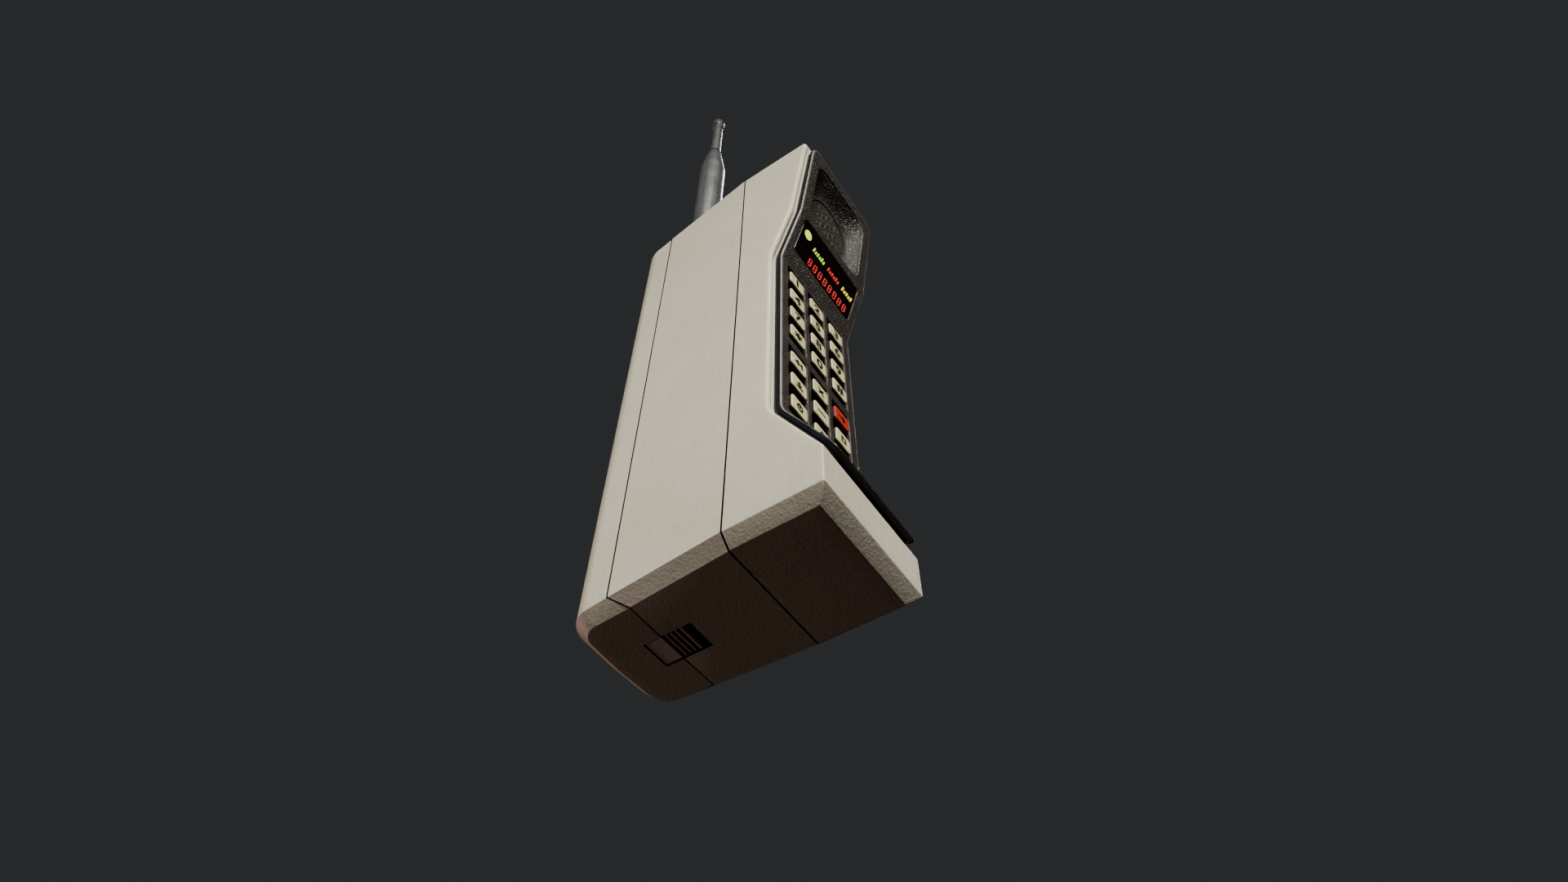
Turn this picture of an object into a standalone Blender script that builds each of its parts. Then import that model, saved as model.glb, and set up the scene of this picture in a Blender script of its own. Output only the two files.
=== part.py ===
"""An early hand-held mobile telephone.

Metres. +Z is up along the case, -Y is the side with the keys, X is across. The origin is at the middle
of the base. The front of the case is one line, seen from the side: the brow, the display's slope, the
upright keypad and the chin. The face plate, its gasket and all that sits in them follow that line.
"""
import bpy
import bmesh
from math import atan2, cos, hypot, pi, sin, sqrt, tan
from mathutils import Matrix, Vector

# Case
WIDTH = 0.0472            # across the flat front half
BACK_WIDTH = 0.0412       # across the back, before its corners are rounded
TOP_SLOPE = 0.142         # fall of the top behind the front seam, per metre of depth
FRONT_Y = -0.0406         # front of the chin
BACK_Y = 0.0427           # crown of the back
BACK_CROWN = 0.0008       # how far the back bulges
BACK_RADIUS = 0.0090
WALL = 0.0022
CHAMFER = 0.00365         # round the base
LIP_ROUND = 0.0022        # on the edges beside the face
GAP = 0.0003              # between pieces that meet
SIDE_TRIM = 0.00002       # the plan outline is this much wider than the case's sides

# The front line, seen from the side, from the base up
CHIN_Z = 0.0173           # top edge of the chin
KEYPAD_BOTTOM_Z = 0.0453  # corner where the chin's slope meets the keypad
KEYPAD_BOTTOM_RADIUS = 0.0134
KEYPAD_Y = -0.0239        # depth of the upright part
KEYPAD_TOP_RADIUS = 0.0100
BROW_RISE = 0.0260        # height of the display's slope
BROW_Y = -0.0324
BROW_RADIUS = 0.0120
BROW_LENGTH = 0.0485      # height of the earpiece part, up to the top
BROW_TOP_Y = -0.0394

# Seams
FRONT_SEAM_Y = -0.0107    # front housing to rear housing
PACK_SEAM_Y = 0.0266      # rear housing to battery, on the sides
PACK_SEAM_STEP = 0.0052   # how much further forward that seam is on the base

# Keys
KEY_WIDTH = 0.0081
KEY_HEIGHT = 0.0063
KEY_CORNER = 0.0015
KEY_PROUD = 0.0004        # above the plate
KEY_DEPTH = 0.0030
KEY_EDGE = 0.0004
KEY_TRAVEL = 0.0008
KEY_GAP_Z = 0.0049        # between a key and the one above
BLOCK_GAP_Z = 0.0043      # extra between the function block and the dial block
KEYS_FOOT = 0.0104        # middle of the lowest row above the keypad's lower corner
KEYS_HEAD = 0.0073        # keypad's upper corner above the middle of the top row
DIAL_ROWS = 4
FUNCTION_ROWS = 3
WELL_MARGIN_X = 0.00095   # between the keys and the sides of their wells
WELL_MARGIN_Z = 0.0027    # between the keys and the ends of their wells
WELL_RIB = 0.0021         # between two columns of wells
WELL_CORNER = 0.0008
MAT_THICK = 0.0010        # at least, since the mat fills the room in front of its board
BOARD_THICK = 0.0016

# Display
WINDOW_RISE = 0.0157      # middle of the window above the keypad's upper corner
WINDOW_WIDTH = 0.0346
WINDOW_HEIGHT = 0.0172
WINDOW_THICK = 0.0012
WINDOW_CORNER = 0.0012
LAMP_RADIUS = 0.0020
LAMP_X = -0.0136
LAMP_UP = 0.0038          # above the window's middle
DIGITS_WIDTH = 0.0252
DIGITS_HEIGHT = 0.0052
DIGITS_X = 0.0027
DIGITS_UP = -0.0056
DISPLAY_PART_THICK = 0.0010

# Earpiece
SCOOP_DROP = 0.0270       # middle of the scoop below the top
SCOOP_WIDTH = 0.0320
SCOOP_HEIGHT = 0.0380
SCOOP_CORNER = 0.0060
SCOOP_DEPTH = 0.0050
GRILLE_RADIUS = 0.0112
GRILLE_THICK = 0.0012
GRILLE_HOLE_RADIUS = 0.0008
GRILLE_PITCH_X = 0.0055
GRILLE_PITCH_Y = 0.00275
SPEAKER_THICK = 0.0045

# Face plate and gasket
LIP_WIDTH = 0.0025        # of the case's front, outside the plate
PLATE_TOP_MARGIN = 0.0022
PLATE_BOTTOM_Z = 0.01925
PLATE_PROUD = 0.0028      # outer face above the case
PLATE_THICK = 0.0016
PLATE_CORNER = 0.0040
OPENING_MARGIN = 0.0005   # round what sits in the case's opening
OPENING_TOP_MARGIN = 0.0060
OPENING_BOTTOM_Z = 0.0240
OPENING_CORNER = 0.0020

# Inside
BULKHEAD_AHEAD = 0.0046   # front of the wall between radio and battery, ahead of the seam
BULKHEAD_THICK = 0.0018
BOARD_MARGIN = 0.0009     # between the boards and the case's walls
LOGIC_BOARD_Y = -0.0095
RADIO_BOARD_Y = 0.0030
BOARD_BOTTOM_Z = 0.0120
BOARD_TOP_MARGIN = 0.0250
SHIELD_DEPTH = 0.0060
SHIELD_BOTTOM_Z = 0.0250
SHIELD_LENGTH = 0.0900
FILTER_DEPTH = 0.0100
FILTER_WIDTH = 0.0160
FILTER_LENGTH = 0.0520
FILTER_GAP = 0.0070       # between the shield and the filter
MIC_RADIUS = 0.0049
MIC_DEPTH = 0.0050
MIC_RISE = 0.0132         # above the chin's top edge
MIC_HOLE_RADIUS = 0.0006
MIC_HOLE_PITCH = 0.0028
SCREW_RADIUS = 0.0010
SCREW_HEAD_RADIUS = 0.0015
SCREW_HEAD_THICK = 0.0012
SCREW_BITE = 0.0013       # how far a screw goes into the case's front wall
SCREW_INSET = 0.0050      # from the ends of the keypad board

# Battery
CELL_ROWS = 3
TRAY_THICK = 0.0015
TRAY_DEPTH = 0.0070
TRAY_TOP_MARGIN = 0.0045
PACK_BOARD_HEIGHT = 0.0220
TERMINAL_WIDTH = 0.0040
TERMINAL_HEIGHT = 0.0060
TERMINAL_DEPTH = 0.0030
TERMINAL_X = 0.0070

# Latch
LATCH_WIDTH = 0.0096
LATCH_THICK = 0.0018
LATCH_RISE = 0.0003       # its face above the base
LATCH_AHEAD = 0.0062      # of the seam on the base
LATCH_BEHIND = 0.0057
LATCH_TRAVEL = 0.0028
LATCH_RIBS = 4
LATCH_RIB_PITCH = 0.0016
LATCH_RIB_DEPTH = 0.0005
LATCH_STEM = 0.0020
LATCH_SPRING_THICK = 0.0003

# Antenna
ANTENNA_X = -0.0141
ANTENNA_Y = 0.0163
ANTENNA_RISE = 0.1210     # above the case
ANTENNA_RADIUS = 0.0056
ANTENNA_NECK_RADIUS = 0.0024
ANTENNA_CAP_RADIUS = 0.0029
ANTENNA_CAP_LENGTH = 0.0050
ANTENNA_NECK_LENGTH = 0.0340
ANTENNA_TAPER_LENGTH = 0.0190
STUD_RADIUS = 0.0024
STUD_LENGTH = 0.0110
SOCKET_RADIUS = 0.0043

ROUND_STEPS = 24
OUTSIDE = 0.02            # how far a cutting shape runs past what it cuts

# Worked out from the sizes above
KEY_PITCH_X = KEY_WIDTH + 2 * WELL_MARGIN_X + WELL_RIB
KEY_PITCH_Z = KEY_HEIGHT + KEY_GAP_Z
FUNCTION_ROW_Z = KEYPAD_BOTTOM_Z + KEYS_FOOT + (FUNCTION_ROWS - 1) * KEY_PITCH_Z
DIAL_ROW_Z = FUNCTION_ROW_Z + BLOCK_GAP_Z + DIAL_ROWS * KEY_PITCH_Z
KEYPAD_TOP_Z = DIAL_ROW_Z + KEYS_HEAD
WINDOW_Z = KEYPAD_TOP_Z + WINDOW_RISE
BROW_Z = KEYPAD_TOP_Z + BROW_RISE
HEIGHT = BROW_Z + BROW_LENGTH
SCOOP_Z = HEIGHT - SCOOP_DROP
MIC_Z = CHIN_Z + MIC_RISE
KEYS_WIDTH = 2 * KEY_PITCH_X + KEY_WIDTH
OPENING_WIDTH = max(KEYS_WIDTH, WINDOW_WIDTH, SCOOP_WIDTH + 2 * PLATE_THICK) + 2 * OPENING_MARGIN
OPENING_TOP_Z = HEIGHT - OPENING_TOP_MARGIN
PLATE_WIDTH = WIDTH - 2 * LIP_WIDTH
PLATE_TOP_Z = HEIGHT - PLATE_TOP_MARGIN
PLATE_BACK = PLATE_PROUD - PLATE_THICK
GASKET_FACE = PLATE_BACK - GAP            # the gasket fills the room under the plate
KEYPAD_FACE_Y = KEYPAD_Y - PLATE_PROUD
FLOOR_Z = CHAMFER + WALL * (sqrt(2) - 1)      # a wall's thickness above the chamfer
PACK_SEAM_BASE_Y = PACK_SEAM_Y - PACK_SEAM_STEP
BULKHEAD_Y = PACK_SEAM_Y - BULKHEAD_AHEAD
BULKHEAD_BACK_Y = BULKHEAD_Y + BULKHEAD_THICK
TRAY_Y = BULKHEAD_BACK_Y + GAP
BOARD_TOP_Z = HEIGHT - BOARD_TOP_MARGIN
LATCH_FRONT_Y = PACK_SEAM_BASE_Y - LATCH_AHEAD
LATCH_BACK_Y = PACK_SEAM_BASE_Y + LATCH_BEHIND
LATCH_STEM_Y = (LATCH_FRONT_Y + PACK_SEAM_BASE_Y) / 2

CREAM = ("cream_plastic", (0.52, 0.49, 0.41), 0.55, 0.0)
DARK = ("dark_plastic", (0.055, 0.047, 0.043), 0.5, 0.0)
RUBBER = ("black_rubber", (0.008, 0.009, 0.012), 0.6, 0.0)
KEY_CREAM = ("key_plastic", (0.61, 0.57, 0.36), 0.45, 0.0)
KEY_RED = ("red_key_plastic", (0.58, 0.05, 0.03), 0.45, 0.0)
GLASS = ("display_lens", (0.01, 0.004, 0.004), 0.08, 0.0)
LIT = ("lamp_lens", (0.72, 0.95, 0.16), 0.3, 0.0)
BOARD = ("circuit_board", (0.03, 0.14, 0.06), 0.5, 0.0)
TIN = ("tinned_steel", (0.62, 0.62, 0.60), 0.35, 1.0)
STEEL = ("antenna_metal", (0.36, 0.40, 0.44), 0.35, 0.8)
BRASS = ("contact_brass", (0.75, 0.56, 0.24), 0.3, 1.0)
CELL = ("cell_sleeve", (0.05, 0.12, 0.30), 0.45, 0.0)


def clear_scene():
    for leftover in list(bpy.data.objects):
        bpy.data.objects.remove(leftover, do_unlink=True)


def new_collection(name):
    group = bpy.data.collections.new(name)
    bpy.context.scene.collection.children.link(group)
    return group


clear_scene()
PHONE = new_collection("brick_phone")
CUTTERS = new_collection("cutters")


def finish_material(spec):
    name, colour, roughness, metallic = spec
    found = bpy.data.materials.get(name)
    if found:
        return found
    made = bpy.data.materials.new(name)
    made.use_nodes = True
    shader = made.node_tree.nodes["Principled BSDF"]
    shader.inputs["Base Color"].default_value = (*colour, 1.0)
    shader.inputs["Roughness"].default_value = roughness
    shader.inputs["Metallic"].default_value = metallic
    return made


def place(mesh, name, matrix, spec=None):
    """Put a mesh in the scene: as a part if it has a material, and as a cutter if not."""
    piece = bpy.data.objects.new(name, mesh)
    piece.matrix_world = matrix
    if spec:
        PHONE.objects.link(piece)
        if not mesh.materials:
            mesh.materials.append(finish_material(spec))
        return piece
    CUTTERS.objects.link(piece)
    piece.hide_render = True
    piece.display_type = "WIRE"
    return piece


def box(name, low, high, spec=None):
    low = Vector(low)
    high = Vector(high)
    shape = bmesh.new()
    bmesh.ops.create_cube(shape, size=1.0, matrix=Matrix.Diagonal((*(high - low), 1.0)))
    mesh = bpy.data.meshes.new(name)
    shape.to_mesh(mesh)
    shape.free()
    return place(mesh, name, Matrix.Translation((low + high) / 2), spec)


def rod(name, radius, low, high, frame, spec=None, steps=ROUND_STEPS):
    """A round bar along the frame's Z, from low to high."""
    shape = bmesh.new()
    size = {"radius1": radius, "radius2": radius, "depth": high - low}
    bmesh.ops.create_cone(shape, cap_ends=True, segments=steps, **size)
    mesh = bpy.data.meshes.new(name)
    shape.to_mesh(mesh)
    shape.free()
    mesh.shade_smooth()
    mesh.set_sharp_from_angle(angle=pi / 5)
    return place(mesh, name, frame @ Matrix.Translation((0, 0, (low + high) / 2)), spec)


def turned(name, profile, frame, spec, closed=False):
    """A profile of (radius, height) turned about the frame's Z. It runs down the outer side."""
    mesh = bpy.data.meshes.new(name)
    count = len(profile)
    edges = [(i, i + 1) for i in range(count - 1)]
    if closed:
        edges.append((count - 1, 0))
    mesh.from_pydata([(radius, 0, height) for radius, height in profile], edges, [])
    piece = place(mesh, name, frame, spec)
    screw = piece.modifiers.new("Turn", "SCREW")
    screw.axis = "Z"
    screw.steps = ROUND_STEPS
    screw.render_steps = ROUND_STEPS
    screw.use_merge_vertices = True
    screw.merge_threshold = 0.00001
    return piece


def rounded(points, radii, steps=4):
    """The outline with an arc of the given radius at each corner."""
    result = []
    for index, corner in enumerate(points):
        radius = radii[index]
        if radius <= 0:
            result.append(tuple(corner))
            continue
        here = Vector(corner)
        before = (Vector(points[index - 1]) - here).normalized()
        after = (Vector(points[(index + 1) % len(points)]) - here).normalized()
        half = before.angle(after) / 2
        centre = here + (before + after).normalized() * (radius / sin(half))
        start = here + before * (radius / tan(half)) - centre
        end = here + after * (radius / tan(half)) - centre
        first = atan2(start.y, start.x)
        turn = (atan2(end.y, end.x) - first + pi) % (2 * pi) - pi
        for step in range(steps + 1):
            angle = first + turn * step / steps
            result.append((centre.x + radius * cos(angle), centre.y + radius * sin(angle)))
    return result


def rectangle(width, height, radius=0.0, steps=3, centre=(0, 0)):
    across = width / 2
    up = height / 2
    corners = [(-across, -up), (across, -up), (across, up), (-across, up)]
    outline = rounded(corners, [radius] * 4, steps=steps)
    return [(x + centre[0], y + centre[1]) for x, y in outline]


def slab(name, outline, low, high, frame, spec=None):
    """A flat outline in the frame's XY plane, filled from low to high along its Z."""
    curve = bpy.data.curves.new(name, "CURVE")
    curve.dimensions = "2D"
    curve.fill_mode = "BOTH"
    curve.extrude = (high - low) / 2
    spline = curve.splines.new("POLY")
    spline.points.add(len(outline) - 1)
    for point, (x, y) in zip(spline.points, outline):
        point.co = (x, y, 0, 1)
    spline.use_cyclic_u = True
    flat = bpy.data.objects.new(name, curve)
    flat.matrix_world = frame @ Matrix.Translation((0, 0, (low + high) / 2))
    CUTTERS.objects.link(flat)
    graph = bpy.context.evaluated_depsgraph_get()
    mesh = bpy.data.meshes.new_from_object(flat.evaluated_get(graph))
    matrix = flat.matrix_world.copy()
    bpy.data.objects.remove(flat, do_unlink=True)
    bpy.data.curves.remove(curve)
    mesh.name = name
    shape = bmesh.new()
    shape.from_mesh(mesh)
    bmesh.ops.remove_doubles(shape, verts=shape.verts, dist=1e-6)
    bmesh.ops.recalc_face_normals(shape, faces=shape.faces)
    shape.to_mesh(mesh)
    shape.free()
    return place(mesh, name, matrix, spec)


def boolean(piece, tool, operation):
    step = piece.modifiers.new(tool.name, "BOOLEAN")
    step.solver = "EXACT"
    step.operation = operation
    step.object = tool
    return piece


def cut(piece, tool):
    return boolean(piece, tool, "DIFFERENCE")


def keep(piece, tool):
    return boolean(piece, tool, "INTERSECT")


def join(piece, tool):
    return boolean(piece, tool, "UNION")


def soften(piece, width, segments=1):
    bevel = piece.modifiers.new("Edges", "BEVEL")
    bevel.width = width
    bevel.segments = segments
    bevel.limit_method = "ANGLE"
    bevel.angle_limit = pi / 3
    return piece


# Frames: the local XY plane of an outline, in the phone
LEVEL = Matrix.Identity(4)
SIDEWAYS = Matrix(((0, 0, 1, 0), (1, 0, 0, 0), (0, 1, 0, 0), (0, 0, 0, 1)))     # outline (y, z), along X
FACING = Matrix(((1, 0, 0, 0), (0, 0, -1, 0), (0, 1, 0, 0), (0, 0, 0, 1)))      # outline (x, z), along -Y


def front_line(distance):
    """The case's front line moved outwards by a distance, top to bottom, and past both ends."""
    brow = Vector((BROW_Y - BROW_TOP_Y, BROW_Z - HEIGHT)).normalized()
    chin = Vector((FRONT_Y - KEYPAD_Y, CHIN_Z - KEYPAD_BOTTOM_Z)).normalized()
    corners = [
        Vector((BROW_TOP_Y, HEIGHT)) - brow * 2 * OUTSIDE,
        Vector((BROW_Y, BROW_Z)),
        Vector((KEYPAD_Y, KEYPAD_TOP_Z)),
        Vector((KEYPAD_Y, KEYPAD_BOTTOM_Z)),
        Vector((FRONT_Y, CHIN_Z)) + chin * 2 * OUTSIDE,
    ]
    radii = [0, BROW_RADIUS, KEYPAD_TOP_RADIUS, KEYPAD_BOTTOM_RADIUS, 0]
    line = [Vector(point) for point in rounded(corners, radii)]
    moved = []
    for index, point in enumerate(line):
        ways = []
        if index > 0:
            ways.append((point - line[index - 1]).normalized())
        if index < len(line) - 1:
            ways.append((line[index + 1] - point).normalized())
        normals = [Vector((way.y, -way.x)) for way in ways]
        if len(normals) == 1:
            moved.append(point + normals[0] * distance)
        else:
            both = normals[0] + normals[1]
            moved.append(point + both * (distance / (1 + normals[0].dot(normals[1]))))
    return moved


def line_at(line, height):
    """Where the line is at a height: its depth, and its outward direction."""
    for upper, lower in zip(line, line[1:]):
        if lower.y <= height <= upper.y:
            share = (height - lower.y) / (upper.y - lower.y)
            way = (lower - upper).normalized()
            return lower.x + (upper.x - lower.x) * share, Vector((way.y, -way.x))
    raise ValueError("the front line doesn't reach this height")


def trimmed(line, top, bottom):
    inside = [tuple(point) for point in line if bottom < point.y < top]
    return [(line_at(line, top)[0], top)] + inside + [(line_at(line, bottom)[0], bottom)]


def on_front(height, distance, x=0.0):
    """A frame on the front line: X across, Z outwards."""
    line = front_line(0)
    depth, outwards = line_at(line, height)
    z_axis = Vector((0, outwards.x, outwards.y))
    x_axis = Vector((1, 0, 0))
    y_axis = z_axis.cross(x_axis)
    origin = Vector((x, depth, height)) + z_axis * distance
    turn = Matrix((x_axis, y_axis, z_axis)).transposed().to_4x4()
    return Matrix.Translation(origin) @ turn


def half_width_at(depth):
    """Half of the case's tapering width behind the front seam."""
    taper = (WIDTH - BACK_WIDTH) / 2 / (BACK_Y - BACK_CROWN - FRONT_SEAM_Y)
    return WIDTH / 2 - taper * (depth - FRONT_SEAM_Y)


def top_at(depth):
    return HEIGHT - TOP_SLOPE * max(0.0, depth - FRONT_SEAM_Y)


def plan_outline(inset):
    """The case from above. Its front half is a hair wide, and the side slab trims it."""
    front = FRONT_Y + inset
    back = BACK_Y - inset
    wide = WIDTH / 2 - inset + SIDE_TRIM
    narrow = BACK_WIDTH / 2 - inset
    right = [(wide, front), (wide, FRONT_SEAM_Y), (narrow, back - BACK_CROWN)]
    left = [(-x, y) for x, y in reversed(right)]
    radius = BACK_RADIUS - inset
    return rounded(right + [(0, back)] + left, [0, 0, radius, 0, radius, 0, 0], steps=5)


def side_outline(inset, base):
    top = HEIGHT - inset
    line = trimmed(front_line(-inset), top, base)
    beyond = BACK_Y + OUTSIDE
    fall = top_at(beyond) - inset
    return line + [(beyond, base), (beyond, fall), (FRONT_SEAM_Y, top)]


def side_slab(name, inset, base):
    across = WIDTH / 2 - inset
    return slab(name, side_outline(inset, base), -across, across, SIDEWAYS)


def round_front_edges(piece):
    """Round both edges beside the face, which run along the front line."""
    shape = bmesh.new()
    shape.from_mesh(piece.data)
    line = front_line(0)
    near = []
    for edge in shape.edges:
        spots = [vertex.co for vertex in edge.verts]
        level = abs(spots[0].z - spots[1].z) < 1e-6
        on_line = all(abs(line_at(line, spot.y)[0] - spot.x) < 1e-5 for spot in spots)
        if level and on_line:
            near.append(edge)
    bmesh.ops.bevel(shape, geom=near, offset=LIP_ROUND, segments=2, profile=0.5, affect="EDGES")
    shape.to_mesh(piece.data)
    shape.free()


def chamfer_base(piece):
    shape = bmesh.new()
    shape.from_mesh(piece.data)
    low = min(vertex.co.z for vertex in shape.verts)
    rim = []
    for edge in shape.edges:
        at_base = all(abs(vertex.co.z - low) < 1e-6 for vertex in edge.verts)
        if at_base and edge.calc_face_angle(0) > 1:
            rim.append(edge)
    bmesh.ops.bevel(shape, geom=rim, offset=CHAMFER, segments=1, affect="EDGES")
    shape.to_mesh(piece.data)
    shape.free()


def case_block(name, spec):
    """The whole outside of the case as one solid, before it is hollowed and divided."""
    block = slab(name, plan_outline(0), 0, HEIGHT + OUTSIDE, LEVEL, spec)
    chamfer_base(block)
    return keep(block, OUTER_SIDE)


def cavity(name, front, back):
    """The hollow between two depths."""
    hollow = slab(name, plan_outline(WALL), FLOOR_Z, HEIGHT + OUTSIDE, LEVEL)
    keep(hollow, INNER_SIDE)
    reach = WIDTH
    keep(hollow, box(name + "_span", (-reach, front, -OUTSIDE), (reach, back, HEIGHT + OUTSIDE)))
    return hollow


def pack_seam(name, offset):
    """Everything behind the battery seam. The seam steps forward across the base's chamfer."""
    side = PACK_SEAM_Y + offset
    base = PACK_SEAM_BASE_Y + offset
    slope = (side - base) / CHAMFER
    far = BACK_Y + OUTSIDE
    top = HEIGHT + OUTSIDE
    outline = [(side, top), (side, CHAMFER), (base - slope * OUTSIDE, -OUTSIDE), (far, -OUTSIDE), (far, top)]
    return slab(name, outline, -WIDTH, WIDTH, SIDEWAYS)


def latch_recess():
    margin = GAP
    low = (-LATCH_WIDTH / 2 - margin, LATCH_FRONT_Y - LATCH_TRAVEL - margin, -OUTSIDE)
    high = (LATCH_WIDTH / 2 + margin, LATCH_BACK_Y + margin, LATCH_RISE + LATCH_THICK + margin)
    return box("latch_recess", low, high)


def make_front_housing():
    housing = case_block("front_housing", CREAM)
    cut(housing, cavity("front_cavity", FRONT_Y, FRONT_SEAM_Y + OUTSIDE))
    low = (-WIDTH, FRONT_SEAM_Y - GAP / 2, -OUTSIDE)
    cut(housing, box("front_seam", low, (WIDTH, BACK_Y + OUTSIDE, HEIGHT + OUTSIDE)))
    height = OPENING_TOP_Z - OPENING_BOTTOM_Z
    middle = (OPENING_TOP_Z + OPENING_BOTTOM_Z) / 2
    outline = rectangle(OPENING_WIDTH, height, OPENING_CORNER, 2, (0, middle))
    cut(housing, slab("face_opening", outline, -FRONT_SEAM_Y + WALL, -FRONT_Y + OUTSIDE, FACING))
    for number, (x, z) in enumerate(screw_places(), 1):
        hole = FACING @ Matrix.Translation((x, z, 0))
        inner = -KEYPAD_Y - WALL
        end = inner + SCREW_BITE + GAP
        cut(housing, rod(f"screw_hole_{number}", SCREW_RADIUS + GAP, inner - WALL, end, hole, steps=12))


def make_rear_housing():
    housing = case_block("rear_housing", CREAM)
    high = (WIDTH, FRONT_SEAM_Y + GAP / 2, HEIGHT + OUTSIDE)
    cut(housing, box("rear_seam", (-WIDTH, FRONT_Y - OUTSIDE, -OUTSIDE), high))
    cut(housing, pack_seam("housing_pack_seam", -GAP / 2))
    cut(housing, cavity("radio_cavity", FRONT_Y, BULKHEAD_Y))
    cut(housing, cavity("pack_cavity", BULKHEAD_BACK_Y, BACK_Y))
    cut(housing, LATCH_RECESS)
    wide = LATCH_STEM / 2 + GAP
    front = LATCH_STEM_Y - wide - LATCH_TRAVEL
    cut(housing, box("stem_slot", (-wide, front, 0), (wide, LATCH_STEM_Y + wide, FLOOR_Z + WALL)))
    upright = Matrix.Translation((ANTENNA_X, ANTENNA_Y, 0))
    cut(housing, rod("antenna_hole", SOCKET_RADIUS + GAP, HEIGHT - 2 * OUTSIDE, HEIGHT + OUTSIDE, upright))
    for side in (-1, 1):
        low, high = terminal_box(side, BULKHEAD_Y - GAP, BULKHEAD_BACK_Y + GAP, GAP)
        cut(housing, box(f"contact_window_{side}", low, high))


def tray_top():
    return top_at(TRAY_Y + TRAY_DEPTH) - WALL - TRAY_TOP_MARGIN


def terminal_box(side, front, back, margin):
    """A contact's box, level with the middle of the pack's board."""
    x = side * TERMINAL_X
    z = tray_top() - TRAY_THICK - GAP - PACK_BOARD_HEIGHT / 2
    across = TERMINAL_WIDTH / 2 + margin
    up = TERMINAL_HEIGHT / 2 + margin
    return (x - across, front, z - up), (x + across, back, z + up)


def make_face_plate():
    plate = ribbon("face_plate", PLATE_BACK, PLATE_PROUD, 0, DARK)
    scoop = on_front(SCOOP_Z, PLATE_PROUD)
    wall = PLATE_THICK
    join(plate, bowl("scoop_wall", wall, -PLATE_THICK / 2, -SCOOP_DEPTH - wall, scoop))
    cut(plate, bowl("scoop_hollow", 0, PLATE_THICK, -SCOOP_DEPTH, scoop))
    grille_hole = rod("grille_hole", GRILLE_RADIUS + GAP, -SCOOP_DEPTH - 2 * wall, 0, scoop)
    cut(plate, grille_hole)
    window = on_front(WINDOW_Z, PLATE_PROUD)
    outline = rectangle(WINDOW_WIDTH + 2 * GAP, WINDOW_HEIGHT + 2 * GAP, WINDOW_CORNER + GAP, 2)
    cut(plate, slab("window_hole", outline, -2 * PLATE_THICK, PLATE_THICK, window))
    blocks = [(DIAL_ROW_Z, DIAL_ROWS, "dial"), (FUNCTION_ROW_Z, FUNCTION_ROWS, "function")]
    for top_row, rows, block in blocks:
        height = (rows - 1) * KEY_PITCH_Z + KEY_HEIGHT + 2 * WELL_MARGIN_Z
        middle = top_row - (rows - 1) * KEY_PITCH_Z / 2
        for column in (-1, 0, 1):
            centre = (column * KEY_PITCH_X, middle)
            outline = rectangle(KEY_WIDTH + 2 * WELL_MARGIN_X, height, WELL_CORNER, 1, centre)
            name = f"{block}_well_{column}"
            well = slab(name, outline, -KEYPAD_Y - WALL, -KEYPAD_Y + OUTSIDE, FACING)
            cut(plate, well)
    port = on_front(MIC_Z, PLATE_PROUD)
    for place_x in (-1, 0, 1):
        hole = port @ Matrix.Translation((place_x * MIC_HOLE_PITCH, 0, 0))
        name = f"voice_hole_{place_x}"
        cut(plate, rod(name, MIC_HOLE_RADIUS, -2 * PLATE_THICK, PLATE_THICK, hole, steps=8))


def make_face_gasket():
    gasket = ribbon("face_gasket", GAP, GASKET_FACE, GAP, RUBBER)
    height = OPENING_TOP_Z - OPENING_BOTTOM_Z
    middle = (OPENING_TOP_Z + OPENING_BOTTOM_Z) / 2
    outline = rectangle(OPENING_WIDTH, height, OPENING_CORNER, 2, (0, middle))
    cut(gasket, slab("gasket_opening", outline, 0, -FRONT_Y + OUTSIDE, FACING))


def ribbon(name, near, far, inset, spec):
    """A strip that follows the front line between two distances from it, trimmed to the plate's outline."""
    top = HEIGHT + WALL
    bottom = CHIN_Z - WALL
    inner = trimmed(front_line(near), top, bottom)
    outer = trimmed(front_line(far), top, bottom)
    strip = slab(name, outer + inner[::-1], -WIDTH / 2, WIDTH / 2, SIDEWAYS, spec)
    height = PLATE_TOP_Z - PLATE_BOTTOM_Z - 2 * inset
    middle = (PLATE_TOP_Z + PLATE_BOTTOM_Z) / 2
    outline = rectangle(PLATE_WIDTH - 2 * inset, height, PLATE_CORNER - inset, 3, (0, middle))
    return keep(strip, slab(name + "_outline", outline, 0, -FRONT_Y + OUTSIDE, FACING))


def bowl(name, wall, high, low, frame):
    """The earpiece scoop: a loft from a rounded rectangle down to the grille's circle."""
    steps = ROUND_STEPS // 4
    rim = rectangle(SCOOP_WIDTH + 2 * wall, SCOOP_HEIGHT + 2 * wall, SCOOP_CORNER + wall, steps)
    count = len(rim)
    radius = GRILLE_RADIUS + GAP + WALL / 2 + wall
    first = -3 * pi / 4 - pi / 4 + pi / 4 / (steps + 1)
    floor = []
    for index in range(count):
        angle = first + 2 * pi * index / count
        floor.append((radius * cos(angle), radius * sin(angle)))
    verts = [(x, y, low) for x, y in floor] + [(x, y, high) for x, y in rim]
    faces = [tuple(reversed(range(count))), tuple(range(count, 2 * count))]
    for index in range(count):
        after = (index + 1) % count
        faces.append((index, after, count + after, count + index))
    mesh = bpy.data.meshes.new(name)
    mesh.from_pydata(verts, [], faces)
    return place(mesh, name, frame)


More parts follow.
